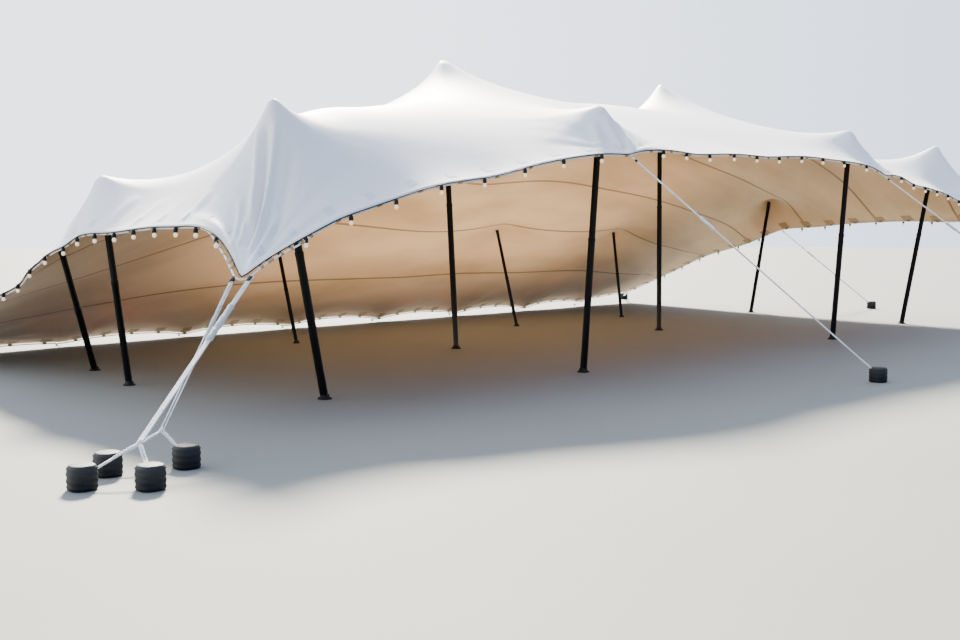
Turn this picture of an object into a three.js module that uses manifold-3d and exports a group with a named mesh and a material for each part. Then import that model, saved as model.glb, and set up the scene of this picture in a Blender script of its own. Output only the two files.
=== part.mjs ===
// A stretch tent: one tensioned cloth canopy of sewn panels, pushed up by twelve poles and
// pulled out by guy ropes. Millimetres, +X along the tent, +Y from the open front to the back, +Z up.
import * as THREE from "three";
import { mergeVertices } from "three/addons/utils/BufferGeometryUtils.js";
import { RoundedBoxGeometry } from "three/addons/geometries/RoundedBoxGeometry.js";
import Module from "manifold-3d";

const wasm = await Module();
wasm.setup();

// Driving dimensions of the canopy
const CLOTH_LENGTH = 15000;
const CLOTH_DEPTH = 8400;
const PANEL_COUNT = 7;
const CLOTH_THICKNESS = 8;
const TOUCH_GAP = 0.3;
const METRE = 1000;
const SAME_POINT = 1e-3;
const SLOPE_STEP = 1;
const HALF_LENGTH = CLOTH_LENGTH / 2;
const PANEL_DEPTH = CLOTH_DEPTH / PANEL_COUNT;

// How the pulled cloth falls away from a held point: 1 is a straight cone, near 0 a thin spike
const CONE_POWER = 0.6;
const TIP_ROUND = 60;
const EDGE_ROUND = 350;

// How far the peak over a pole head reaches, and the blunt top that the head's dome gives it
const PEAK_FADE = 500;
const PEAK_ROUND = 50;

// Mesh lines of the cloth: an even grid, with closer lines round each pole
const GRID_STEP = 500;
const LINES_PER_PANEL = 3;
const NEAR_POLE = 220;
const CLOSEST_LINES = 120;

// Poles
const MAIN_POLE_RADIUS = 38;
const SIDE_POLE_RADIUS = 34;
const REAR_POLE_RADIUS = 27;
const POLE_SIDES = 12;
const FOOT_HEIGHT = 45;
const FOOT_FLARE = 1.75;
const FOOT_LIP = 12;
const FOOT_NECK = 1.15;
const SHAFT_START = 24;
const POLE_OVERRUN = 120;
const HEAD_WINDOW = 450;

// Ropes, festoon and ground anchors
const ROPE_SIDES = 5;
const GUY_SIDES = 8;
const STRAP_SIDES = 6;
const EDGE_ROPE_RADIUS = 8;
const EDGE_ROPE_INSET = 30;
const GUY_RADIUS = 7;
const KNOT_RADIUS = 14;
const KNOT_RINGS = 6;
const SLEEVE_RADIUS = 17;
const CORNER_SLEEVE_RADIUS = 28;
const CABLE_RADIUS = 5;
const RIM_CLEARANCE = 3.8;
const ROPE_LOOP_SLACK = 10;
const FESTOON_BACK = 7700;
const BULB_SPACING = 500;
const FIRST_BULB = 250;
const BULB_CLEAR_OF_GUY = 150;
const BULB_DROP = 86;
const LAMP_SIDES = 5;
const LAMP_PROFILE = [[0, -BULB_DROP], [23, -64], [15, -38], [6, -4], [0, 0]];
const STAKE_COVER_WIDTH = 170;
const STAKE_COVER_HEIGHT = 150;
const STAKE_COVER_ROUND = 32;
const COVER_ROUND_STEPS = 1;
const PEG_RADIUS = 16;
const PEG_HEIGHT = 40;
const PEG_HEAD_RADIUS = 22.4;
const PEG_SIDES = 8;
const PEG_SET_BACK = 180;

// Each pole: its foot on the ground, its head under the cloth, and the cloth place that the head lifts
const POLES = [
  {
    name: "pole_king_left",
    foot: [-2065, 2742],
    head: [-2365, 2662, 3669],
    cloth: [-2300, 2950],
    radius: MAIN_POLE_RADIUS,
    peak: 300,
  },
  {
    name: "pole_king_right",
    foot: [2100, 2600],
    head: [2047, 2603, 3803],
    cloth: [2100, 2950],
    radius: MAIN_POLE_RADIUS,
    peak: 300,
  },
  {
    name: "pole_front_left",
    foot: [-5890, 310],
    head: [-6462, 208, 2610],
    cloth: [-6300, 1100],
    radius: MAIN_POLE_RADIUS,
    peak: 300,
  },
  {
    name: "pole_front_centre_left",
    foot: [-2720, -20],
    head: [-2720, -229, 2803],
    cloth: [-2800, 750],
    radius: MAIN_POLE_RADIUS,
    peak: 300,
  },
  {
    name: "pole_front_centre_right",
    foot: [2680, -20],
    head: [2700, -201, 2922],
    cloth: [2800, 750],
    radius: MAIN_POLE_RADIUS,
    peak: 300,
  },
  {
    name: "pole_front_right",
    foot: [6080, 560],
    head: [6501, 249, 2958],
    cloth: [6300, 1100],
    radius: MAIN_POLE_RADIUS,
    peak: 250,
  },
  {
    name: "pole_side_left",
    foot: [-6760, 2380],
    head: [-6997, 2400, 2038],
    cloth: [-6850, 3400],
    radius: SIDE_POLE_RADIUS,
    peak: 150,
  },
  {
    name: "pole_side_left_rear",
    foot: [-6490, 3770],
    head: [-7037, 3299, 1395],
    cloth: [-6950, 4400],
    radius: SIDE_POLE_RADIUS,
    peak: 0,
  },
  {
    name: "pole_side_right",
    foot: [6600, 3800],
    head: [7104, 3744, 2215],
    cloth: [6900, 3900],
    radius: SIDE_POLE_RADIUS,
    peak: 150,
  },
  {
    name: "pole_rear_left",
    foot: [-3180, 4780],
    head: [-3150, 5301, 1464],
    cloth: [-3200, 6250],
    radius: REAR_POLE_RADIUS,
    peak: 150,
  },
  {
    name: "pole_rear_centre",
    foot: [1035, 4675],
    head: [1094, 5197, 1569],
    cloth: [1000, 6250],
    radius: REAR_POLE_RADIUS,
    peak: 150,
  },
  {
    name: "pole_rear_right",
    foot: [3850, 4760],
    head: [4118, 5193, 1542],
    cloth: [4100, 6250],
    radius: REAR_POLE_RADIUS,
    peak: 150,
  },
];

// Places of the cloth's edge, each as cloth place, then real place
const CORNER_TIPS = [
  { cloth: [-7500, 0], at: [-7333, -699, 1174] },
  { cloth: [7500, 0], at: [7700, -950, 1186] },
  { cloth: [-7500, 8400], at: [-7700, 6200, 77] },
  { cloth: [7500, 8400], at: [7398, 7502, 232] },
];
const FRONT_TIE_LEFT = { cloth: [-2950, 0], at: [-2900, -751, 2292] };
const FRONT_TIE_RIGHT = { cloth: [2750, 0], at: [2701, -732, 2299] };
const FRONT_ARCH = [
  { along: -6750, at: [-6698, -541, 1445] },
  { along: -5900, at: [-5850, -501, 1749] },
  { along: -4700, at: [-4620, -580, 2016] },
  { along: -3750, at: [-3700, -660, 2219] },
  { along: -1500, at: [-1498, -622, 2372] },
  { along: 0, at: [0, -580, 2422] },
  { along: 1500, at: [1500, -621, 2456] },
  { along: 3750, at: [3703, -665, 2215] },
  { along: 4700, at: [4619, -579, 2157] },
  { along: 5900, at: [5849, -499, 2030] },
  { along: 6750, at: [6850, -680, 2132] },
];
const LEFT_ARCH = [
  { back: 500, at: [-7218, -292, 1392] },
  { back: 900, at: [-7196, -2, 1515] },
  { back: 1600, at: [-7201, 602, 1551] },
  { back: 2700, at: [-7277, 1599, 1501] },
  { back: 3700, at: [-7335, 2501, 1377] },
  { back: 4800, at: [-7426, 3399, 987] },
  { back: 6500, at: [-7552, 4701, 571] },
];
const RIGHT_ARCH = [
  { back: 600, at: [7450, -350, 1800] },
  { back: 1200, at: [7350, 169, 1724] },
  { back: 2400, at: [7251, 1596, 1735] },
  { back: 3600, at: [7253, 2994, 1642] },
  { back: 4800, at: [7305, 4293, 1359] },
  { back: 6000, at: [7355, 5393, 1067] },
  { back: 7200, at: [7404, 6494, 624] },
];
const BACK_TIES = [
  { along: -5700, at: [-5701, 6550, 60] },
  { along: -3800, at: [-3799, 6748, 57] },
  { along: -1900, at: [-1900, 6900, 60] },
  { along: 0, at: [0, 7000, 61] },
  { along: 1900, at: [1900, 7100, 63] },
  { along: 3800, at: [3801, 7200, 64] },
  { along: 5700, at: [5702, 7349, 104] },
];

// Places inside the cloth: the saddles between the poles, the slope to the back and the left side's ridge
const INNER_PLACES = [
  { cloth: [-6920, 3900], at: [-7023, 2860, 1677], round: 300 },
  { cloth: [-4300, 2100], at: [-4297, 1402, 2848], round: 600 },
  { cloth: [-5400, 1700], at: [-5512, 883, 2663], round: 500 },
  { cloth: [-5000, 3400], at: [-5002, 2606, 2131], round: 600 },
  { cloth: [-100, 2100], at: [-100, 1202, 3093], round: 600 },
  { cloth: [4900, 2300], at: [4792, 1754, 2893], round: 600 },
  { cloth: [-100, 3200], at: [-94, 2498, 3247], round: 600 },
  { cloth: [-3500, 4800], at: [-3526, 3985, 2631], round: 600 },
  { cloth: [-500, 4800], at: [-508, 3994, 2236], round: 600 },
  { cloth: [2500, 4800], at: [2434, 4082, 2266], round: 600 },
  { cloth: [5000, 4800], at: [5009, 4045, 1913], round: 600 },
];

// Guy ropes: from a cloth place to one ground stake, or by a knot to two. A knot lies at a share of the
// rope's length, and a sleeve runs from one share of it to another.
const KNOT_SHARE = 0.86;
const CORNER_SLEEVE = [0.2, 0.44];
const FRONT_TIE_SLEEVE = [0.38, 0.47];
const SIDE_SLEEVE = [0.2, 0.3];
const BACK_SLEEVE = [0.2, 0.5];
const LEFT_STAKES = {
  outer: [[-8960, -1600], [-8670, -1870]],
  inner: [[-8690, -1350], [-8230, -1480]],
};
const RIGHT_STAKES = {
  outer: [[9300, -1850], [9010, -2120]],
  inner: [[9030, -1600], [8570, -1730]],
};
const GUYS = [
  {
    name: "guy_front_left_outer",
    from: [-7400, 0],
    stakes: LEFT_STAKES.outer,
    knot: KNOT_SHARE,
    sleeve: CORNER_SLEEVE,
    sleeveRadius: CORNER_SLEEVE_RADIUS,
  },
  {
    name: "guy_front_left_inner",
    from: [-7500, 100],
    stakes: LEFT_STAKES.inner,
    knot: KNOT_SHARE,
    sleeve: CORNER_SLEEVE,
    sleeveRadius: CORNER_SLEEVE_RADIUS,
  },
  {
    name: "guy_front_right_outer",
    from: [7400, 0],
    stakes: RIGHT_STAKES.outer,
    knot: KNOT_SHARE,
    sleeve: CORNER_SLEEVE,
    sleeveRadius: CORNER_SLEEVE_RADIUS,
  },
  {
    name: "guy_front_right_inner",
    from: [7500, 100],
    stakes: RIGHT_STAKES.inner,
    knot: KNOT_SHARE,
    sleeve: CORNER_SLEEVE,
    sleeveRadius: CORNER_SLEEVE_RADIUS,
  },
  {
    name: "guy_front_centre",
    from: [-2950, 0],
    stakes: [[-1170, -2600]],
    sleeve: FRONT_TIE_SLEEVE,
  },
  {
    name: "guy_front_right_centre",
    from: [2750, 0],
    stakes: [[5400, -2600]],
    sleeve: FRONT_TIE_SLEEVE,
  },
  {
    name: "guy_side_right",
    from: [7500, 4050],
    stakes: [[9300, 2700]],
    sleeve: SIDE_SLEEVE,
  },
  {
    name: "guy_back_left",
    from: [-7500, 8400],
    stakes: [[-8400, 6850]],
    sleeve: BACK_SLEEVE,
  },
  {
    name: "guy_back_right",
    from: [7500, 8400],
    stakes: [[8250, 8250]],
    sleeve: BACK_SLEEVE,
  },
];

// Finishes
const CLOTH_FINISH = { color: 0xe9e6e2, roughness: 0.75, metalness: 0 };
const POLE_FINISH = { color: 0x17181a, roughness: 0.45, metalness: 0.2 };
const ROPE_FINISH = { color: 0xe8e6de, roughness: 0.85, metalness: 0 };
const CABLE_FINISH = { color: 0x151515, roughness: 0.6, metalness: 0 };
const STAKE_FINISH = { color: 0x1b1b1c, roughness: 0.7, metalness: 0 };
const PEG_FINISH = { color: 0x6b6d6e, roughness: 0.4, metalness: 0.8 };

const tent = new THREE.Group();

function addPiece(name, geometry, finish) {
  const piece = new THREE.Mesh(geometry, new THREE.MeshStandardMaterial(finish));
  piece.name = name;
  tent.add(piece);
  return piece;
}

// The shape of the pulled cloth

// Solves a square set of equations for several right-hand columns, by elimination with row swaps.
function solve(matrix, columns) {
  const size = matrix.length;
  const rows = matrix.map((row, i) => [...row, ...columns[i]]);
  for (let pivot = 0; pivot < size; pivot++) {
    let best = pivot;
    for (let r = pivot + 1; r < size; r++) {
      if (Math.abs(rows[r][pivot]) > Math.abs(rows[best][pivot])) best = r;
    }
    [rows[pivot], rows[best]] = [rows[best], rows[pivot]];
    for (let r = 0; r < size; r++) {
      if (r === pivot) continue;
      const share = rows[r][pivot] / rows[pivot][pivot];
      for (let k = pivot; k < rows[r].length; k++) rows[r][k] -= share * rows[pivot][k];
    }
  }
  return rows.map((row, i) => row.slice(size).map((value) => value / row[i]));
}

function heldPoints() {
  const held = POLES.map((pole) => ({ cloth: pole.cloth, at: pole.head, round: TIP_ROUND }));
  for (const tip of [...CORNER_TIPS, FRONT_TIE_LEFT, FRONT_TIE_RIGHT]) {
    held.push({ ...tip, round: TIP_ROUND });
  }
  for (const { along, at } of FRONT_ARCH) {
    held.push({ cloth: [along, 0], at, round: EDGE_ROUND });
  }
  for (const { back, at } of LEFT_ARCH) {
    held.push({ cloth: [-HALF_LENGTH, back], at, round: EDGE_ROUND });
  }
  for (const { back, at } of RIGHT_ARCH) {
    held.push({ cloth: [HALF_LENGTH, back], at, round: EDGE_ROUND });
  }
  for (const { along, at } of BACK_TIES) {
    held.push({ cloth: [along, CLOTH_DEPTH], at, round: TIP_ROUND });
  }
  return [...held, ...INNER_PLACES];
}

const HELD = heldPoints();

// The pull of one held point on a cloth place, which grows with their distance.
function reach(place, held) {
  const away = Math.hypot(place[0] - held.cloth[0], place[1] - held.cloth[1], held.round);
  return (away / METRE) ** CONE_POWER;
}

// How high the poles' own peaks lift a cloth place, all together.
function peakHeight(place) {
  let height = 0;
  for (const { cloth, peak } of POLES) {
    const away = Math.hypot(place[0] - cloth[0], place[1] - cloth[1], PEAK_ROUND);
    height += peak * Math.exp(-away / PEAK_FADE);
  }
  return height;
}

function clothWeights() {
  const count = HELD.length;
  const plane = HELD.map(({ cloth }) => [1, cloth[0] / METRE, cloth[1] / METRE]);
  const matrix = HELD.map((row, i) => [...HELD.map((held) => reach(row.cloth, held)), ...plane[i]]);
  const places = HELD.map(({ cloth, at }) => [at[0], at[1], at[2] - peakHeight(cloth)]);
  const balance = [0, 1, 2].map((term) => plane.map((row) => row[term]));
  for (const row of balance) {
    matrix.push([...row, 0, 0, 0]);
    places.push([0, 0, 0]);
  }
  const weights = solve(matrix, places);
  return { pulls: weights.slice(0, count), plane: weights.slice(count) };
}

const CLOTH = clothWeights();

// The middle of the cloth at a cloth place, in the tent's own frame.
function clothPoint(along, back) {
  const [level, slopeAlong, slopeBack] = CLOTH.plane;
  const sum = level.map(
    (value, axis) => value + (slopeAlong[axis] * along + slopeBack[axis] * back) / METRE,
  );
  HELD.forEach((held, i) => {
    const pull = reach([along, back], held);
    for (let axis = 0; axis < 3; axis++) sum[axis] += pull * CLOTH.pulls[i][axis];
  });
  return new THREE.Vector3(sum[0], sum[1], sum[2] + peakHeight([along, back]));
}

function clothNormal(along, back) {
  const acrossX = clothPoint(along + SLOPE_STEP, back).sub(clothPoint(along - SLOPE_STEP, back));
  const acrossY = clothPoint(along, back + SLOPE_STEP).sub(clothPoint(along, back - SLOPE_STEP));
  return acrossX.cross(acrossY).normalize();
}

// Closed solids from grids of points, and booleans

// A closed solid between two grids of points with the same rows, the second above the first.
function slabGeometry(lower, upper) {
  const rows = lower.length;
  const columns = lower[0].length;
  const positions = [];
  for (const grid of [lower, upper]) {
    for (const row of grid) for (const point of row) positions.push(point.x, point.y, point.z);
  }
  const index = [];
  const at = (level, i, j) => level * rows * columns + i * columns + j;
  const quad = (a, b, c, d) => index.push(a, b, c, a, c, d);
  for (let i = 0; i + 1 < rows; i++) {
    for (let j = 0; j + 1 < columns; j++) {
      quad(at(1, i, j), at(1, i + 1, j), at(1, i + 1, j + 1), at(1, i, j + 1));
      index.push(at(0, i, j), at(0, i + 1, j + 1), at(0, i + 1, j));
      index.push(at(0, i, j), at(0, i, j + 1), at(0, i + 1, j + 1));
    }
  }
  for (let i = 0; i + 1 < rows; i++) {
    quad(at(0, i, 0), at(0, i + 1, 0), at(1, i + 1, 0), at(1, i, 0));
    const last = columns - 1;
    quad(at(0, i, last), at(1, i, last), at(1, i + 1, last), at(0, i + 1, last));
  }
  for (let j = 0; j + 1 < columns; j++) {
    quad(at(0, 0, j + 1), at(0, 0, j), at(1, 0, j), at(1, 0, j + 1));
    const last = rows - 1;
    quad(at(0, last, j), at(0, last, j + 1), at(1, last, j + 1), at(1, last, j));
  }
  const geometry = new THREE.BufferGeometry();
  geometry.setAttribute("position", new THREE.Float32BufferAttribute(positions, 3));
  geometry.setIndex(index);
  return geometry;
}

function solidOf(geometry) {
  const bare = geometry.clone();
  bare.deleteAttribute("normal");
  bare.deleteAttribute("uv");
  const merged = mergeVertices(bare, SAME_POINT);
  return new wasm.Manifold(
    new wasm.Mesh({
      numProp: 3,
      vertProperties: new Float32Array(merged.attributes.position.array),
      triVerts: new Uint32Array(merged.index.array),
    }),
  );
}

function geometryOf(solid) {
  const made = solid.getMesh();
  const geometry = new THREE.BufferGeometry();
  geometry.setAttribute("position", new THREE.BufferAttribute(made.vertProperties, 3));
  geometry.setIndex(new THREE.BufferAttribute(made.triVerts, 1));
  return geometry;
}

// What is left of a trimmed piece once the loose offcuts are dropped.
function mainBody(solid) {
  return solid.decompose().reduce((a, b) => (a.volume() > b.volume() ? a : b));
}

// A route through listed points, sampled exactly at them, for tubes with one ring at each point.
class Route extends THREE.Curve {
  constructor(points) {
    super();
    this.points = points;
  }
  getPoint(share) {
    const place = share * (this.points.length - 1);
    const start = Math.min(Math.floor(place), this.points.length - 2);
    return this.points[start].clone().lerp(this.points[start + 1], place - start);
  }
  getPointAt(share) {
    return this.getPoint(share);
  }
  getTangentAt(share) {
    const last = this.points.length - 1;
    const near = Math.round(share * last);
    const before = this.points[Math.max(near - 1, 0)];
    const after = this.points[Math.min(near + 1, last)];
    return after.clone().sub(before).normalize();
  }
}

function roundSection(radius, sides) {
  const section = new THREE.Shape();
  for (let k = 0; k < sides; k++) {
    const turn = (2 * Math.PI * k) / sides;
    const corner = [radius * Math.cos(turn), radius * Math.sin(turn)];
    if (k === 0) section.moveTo(...corner);
    else section.lineTo(...corner);
  }
  section.closePath();
  return section;
}

function tubeGeometry(points, radius, sides) {
  const options = { steps: points.length - 1, extrudePath: new Route(points) };
  return new THREE.ExtrudeGeometry(roundSection(radius, sides), options);
}

// A turned solid that stands with its axis along Z, from [radius, height] pairs.
function turnedGeometry(profile, sides) {
  const points = profile.map(([radius, height]) => new THREE.Vector2(radius, height));
  return new THREE.LatheGeometry(points, sides).rotateX(Math.PI / 2);
}

// Canopy panels

function meshLines(low, high, even, centres) {
  const near = centres.flatMap((centre) => [centre, centre - NEAR_POLE, centre + NEAR_POLE]);
  const lines = [low, high];
  for (const line of [...centres, ...near, ...even]) {
    const clear = lines.every((other) => Math.abs(other - line) > CLOSEST_LINES);
    if (line > low && line < high && clear) lines.push(line);
  }
  return lines.sort((a, b) => a - b);
}

const evenAlong = [];
for (let along = -HALF_LENGTH; along <= HALF_LENGTH; along += GRID_STEP) evenAlong.push(along);
const poleAlongs = POLES.map((pole) => pole.cloth[0]);
const ALONG_LINES = meshLines(-HALF_LENGTH, HALF_LENGTH, evenAlong, poleAlongs);

function backLines(panel) {
  const low = panel * PANEL_DEPTH;
  const even = [];
  for (let k = 1; k < LINES_PER_PANEL; k++) even.push(low + (k * PANEL_DEPTH) / LINES_PER_PANEL);
  const poleBacks = POLES.map((pole) => pole.cloth[1]);
  return meshLines(low, low + PANEL_DEPTH, even, poleBacks);
}

// The point off the middle of the cloth by a distance square to it.
function clothSide(along, back, offset) {
  return clothPoint(along, back).addScaledVector(clothNormal(along, back), offset);
}

function clothGrid(alongLines, backs, offset) {
  return alongLines.map((along) => backs.map((back) => clothSide(along, back, offset)));
}

// The cloth over two sets of mesh lines, with a given half thickness.
function clothSolid(alongLines, backs, half) {
  return slabGeometry(clothGrid(alongLines, backs, -half), clothGrid(alongLines, backs, half));
}

for (let panel = 0; panel < PANEL_COUNT; panel++) {
  const backs = backLines(panel);
  if (panel > 0) backs[0] += TOUCH_GAP / 2;
  if (panel < PANEL_COUNT - 1) backs[backs.length - 1] -= TOUCH_GAP / 2;
  const geometry = clothSolid(ALONG_LINES, backs, CLOTH_THICKNESS / 2);
  addPiece("canopy_panel_" + (panel + 1), geometry, CLOTH_FINISH);
}

// Poles

const allBackLines = [0];
for (let panel = 0; panel < PANEL_COUNT; panel++) allBackLines.push(...backLines(panel).slice(1));

// What the cloth over a pole head fills, with the touching gap, so that the head ends just under it.
function clothOver(pole) {
  const close = (lines, centre) => lines.filter((line) => Math.abs(line - centre) < HEAD_WINDOW);
  const alongLines = close(ALONG_LINES, pole.cloth[0]);
  const backs = close(allBackLines, pole.cloth[1]);
  const lower = clothGrid(alongLines, backs, -CLOTH_THICKNESS / 2 - TOUCH_GAP);
  const upper = lower.map((row) => row.map((point) => point.clone().setZ(point.z + HEAD_WINDOW)));
  return solidOf(slabGeometry(lower, upper));
}

function poleGeometry(pole) {
  const foot = new THREE.Vector3(...pole.foot, 0);
  const head = new THREE.Vector3(...pole.head);
  const lean = head.clone().sub(foot).normalize();
  const shaftStart = foot.clone().addScaledVector(lean, SHAFT_START);
  const shaftEnd = head.clone().addScaledVector(lean, POLE_OVERRUN);
  const shaft = tubeGeometry([shaftStart, shaftEnd], pole.radius, POLE_SIDES);
  const flare = pole.radius * FOOT_FLARE;
  const neck = pole.radius * FOOT_NECK;
  const profile = [[0, 0], [flare, 0], [flare, FOOT_LIP], [neck, FOOT_HEIGHT], [0, FOOT_HEIGHT]];
  const footGeometry = turnedGeometry(profile, POLE_SIDES).translate(...pole.foot, 0);
  const whole = solidOf(shaft).add(solidOf(footGeometry));
  return geometryOf(mainBody(whole.subtract(clothOver(pole))));
}

for (const pole of POLES) addPiece(pole.name, poleGeometry(pole), POLE_FINISH);

// Edge rope, held in loops under the rim of the cloth

const ROPE_DROP = CLOTH_THICKNESS / 2 + EDGE_ROPE_RADIUS + ROPE_LOOP_SLACK;
const NEXT_BACK = allBackLines[1];
const NEXT_FRONT = allBackLines.at(-2);

// A place under the flat stretch of cloth between the rim and the next mesh line inside it.
function underRim(rim, inner) {
  const edge = clothPoint(...rim);
  const inward = clothPoint(...inner).sub(edge);
  const level = clothNormal(...rim).add(clothNormal(...inner));
  const tangentPart = level.dot(inward) / inward.lengthSq();
  const square = level.addScaledVector(inward, -tangentPart).normalize();
  return edge.addScaledVector(inward.normalize(), EDGE_ROPE_INSET).addScaledVector(square, -ROPE_DROP);
}

// A place under a corner tip, the same distance in from both its rims.
function underTip(tip, innerAlong, innerBack) {
  const edge = clothPoint(...tip);
  const along = clothPoint(...innerAlong).sub(edge).normalize();
  const back = clothPoint(...innerBack).sub(edge).normalize();
  const square = along.clone().cross(back).normalize();
  if (square.z < 0) square.negate();
  edge.addScaledVector(along, EDGE_ROPE_INSET).addScaledVector(back, EDGE_ROPE_INSET);
  return edge.addScaledVector(square, -ROPE_DROP);
}

const underFront = (along) => underRim([along, 0], [along, NEXT_BACK]);
const underBack = (along) => underRim([along, CLOTH_DEPTH], [along, NEXT_FRONT]);
const underLeft = (back) => underRim([-HALF_LENGTH, back], [ALONG_LINES[1], back]);
const underRight = (back) => underRim([HALF_LENGTH, back], [ALONG_LINES.at(-2), back]);

function edgeRopePoints() {
  const alongs = ALONG_LINES.slice(1, -1);
  const backs = allBackLines.slice(1, -1);
  const [left, right] = [-HALF_LENGTH, HALF_LENGTH];
  const corner = (side, end) => {
    const innerAlong = side === left ? alongs[0] : alongs[alongs.length - 1];
    const innerBack = end === 0 ? NEXT_BACK : NEXT_FRONT;
    return underTip([side, end], [innerAlong, end], [side, innerBack]);
  };
  return [
    ...[...alongs].reverse().map(underBack),
    corner(left, CLOTH_DEPTH),
    ...[...backs].reverse().map(underLeft),
    corner(left, 0),
    ...alongs.map(underFront),
    corner(right, 0),
    ...backs.map(underRight),
    corner(right, CLOTH_DEPTH),
  ];
}

const edgeRopeRoute = edgeRopePoints();
addPiece("edge_rope", tubeGeometry(edgeRopeRoute, EDGE_ROPE_RADIUS, ROPE_SIDES), ROPE_FINISH);

// Festoon: a cable clipped along the rim of the left side, the front and the right side, with
// hanging lamps

// A place just outside the rim, square to it, where a cable touches the cloth's edge.
function rimPoint(along, back, outAlong, outBack) {
  const rim = clothPoint(along, back);
  const forward = clothPoint(along - outBack * SLOPE_STEP, back + outAlong * SLOPE_STEP);
  const out = forward.sub(rim).cross(clothNormal(along, back)).normalize();
  return rim.addScaledVector(out, (CABLE_RADIUS + RIM_CLEARANCE) * Math.hypot(outAlong, outBack));
}

function festoonRoute() {
  const backs = allBackLines.filter((line) => line > 0 && line < FESTOON_BACK);
  const alongs = ALONG_LINES.filter((line) => Math.abs(line) < HALF_LENGTH);
  return [
    ...[...backs].reverse().map((back) => rimPoint(-HALF_LENGTH, back, -1, 0)),
    rimPoint(-HALF_LENGTH, 0, -1, -1),
    ...alongs.map((along) => rimPoint(along, 0, 0, -1)),
    rimPoint(HALF_LENGTH, 0, 1, -1),
    ...backs.map((back) => rimPoint(HALF_LENGTH, back, 1, 0)),
  ];
}

// Points at even distances along a route of straight stretches.
function evenPlaces(route, spacing, first) {
  const places = [];
  let due = first;
  for (let i = 0; i + 1 < route.length; i++) {
    const stretch = route[i].distanceTo(route[i + 1]);
    while (due < stretch) {
      places.push(route[i].clone().lerp(route[i + 1], due / stretch));
      due += spacing;
    }
    due -= stretch;
  }
  return places;
}

function festoonGeometry() {
  const route = festoonRoute();
  let whole = solidOf(tubeGeometry(route, CABLE_RADIUS, ROPE_SIDES));
  const lamp = turnedGeometry(LAMP_PROFILE, LAMP_SIDES);
  const guyTops = GUYS.map((guy) => clothPoint(...guy.from));
  for (const place of evenPlaces(route, BULB_SPACING, FIRST_BULB)) {
    if (guyTops.some((top) => top.distanceTo(place) < BULB_CLEAR_OF_GUY)) continue;
    whole = whole.add(solidOf(lamp.clone().translate(place.x, place.y, place.z)));
  }
  return geometryOf(whole);
}

addPiece("festoon_lights", festoonGeometry(), CABLE_FINISH);

// Ground stakes under rounded covers, and guy ropes

function coverGeometry(place, extra) {
  const width = STAKE_COVER_WIDTH + 2 * extra;
  const height = STAKE_COVER_HEIGHT + extra;
  const box = new RoundedBoxGeometry(width, width, height, COVER_ROUND_STEPS, STAKE_COVER_ROUND);
  return box.translate(place[0], place[1], height / 2);
}

// All that a guy or strap ends against at the rim: the cloth, its edge rope and the festoon cable,
// each with the touching gap round it.
function fillingAtRim() {
  const spread = (lines) => [lines[0] - TOUCH_GAP, ...lines.slice(1, -1), lines.at(-1) + TOUCH_GAP];
  const half = CLOTH_THICKNESS / 2 + TOUCH_GAP;
  const cloth = solidOf(clothSolid(spread(ALONG_LINES), spread(allBackLines), half));
  const rope = tubeGeometry(edgeRopeRoute, EDGE_ROPE_RADIUS + TOUCH_GAP, ROPE_SIDES);
  const cable = tubeGeometry(festoonRoute(), CABLE_RADIUS + TOUCH_GAP, ROPE_SIDES);
  return cloth.add(solidOf(rope)).add(solidOf(cable));
}

const rimFilling = fillingAtRim();

// The point of the edge rope that is nearest to a place on the rim.
function onEdgeRope(place) {
  const nearest = new THREE.Vector3();
  const found = { away: Infinity, point: null };
  for (let i = 0; i + 1 < edgeRopeRoute.length; i++) {
    const stretch = new THREE.Line3(edgeRopeRoute[i], edgeRopeRoute[i + 1]);
    stretch.closestPointToPoint(place, true, nearest);
    const away = nearest.distanceTo(place);
    if (away < found.away) {
      found.away = away;
      found.point = nearest.clone();
    }
  }
  return found.point;
}

function addGuy(guy) {
  const top = onEdgeRope(clothPoint(...guy.from));
  const { stakes } = guy;
  const holds = stakes.map(([x, y]) => new THREE.Vector3(x, y, STAKE_COVER_HEIGHT / 2));
  const middle = new THREE.Vector3();
  for (const hold of holds) middle.addScaledVector(hold, 1 / holds.length);
  const knot = top.clone().lerp(middle, guy.knot ?? 1);
  let rope = solidOf(tubeGeometry([top, knot], GUY_RADIUS, GUY_SIDES));
  const sleeve = guy.sleeve.map((share) => top.clone().lerp(knot, share));
  const sleeveRadius = guy.sleeveRadius ?? SLEEVE_RADIUS;
  rope = rope.add(solidOf(tubeGeometry(sleeve, sleeveRadius, GUY_SIDES)));
  if (guy.knot) {
    const ball = new THREE.SphereGeometry(KNOT_RADIUS, GUY_SIDES, KNOT_RINGS);
    rope = rope.add(solidOf(ball.translate(knot.x, knot.y, knot.z)));
    for (const hold of holds) {
      rope = rope.add(solidOf(tubeGeometry([knot, hold], GUY_RADIUS, GUY_SIDES)));
    }
  }
  for (const stake of stakes) rope = rope.subtract(solidOf(coverGeometry(stake, TOUCH_GAP)));
  addPiece(guy.name, geometryOf(mainBody(rope.subtract(rimFilling))), ROPE_FINISH);
  stakes.forEach((stake, k) => {
    const name = guy.name.replace("guy", "stake") + (stakes.length > 1 ? "_" + (k + 1) : "");
    addPiece(name, coverGeometry(stake, 0), STAKE_FINISH);
  });
}

for (const guy of GUYS) addGuy(guy);

// Pegs that hold the back edge down by short straps

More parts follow.
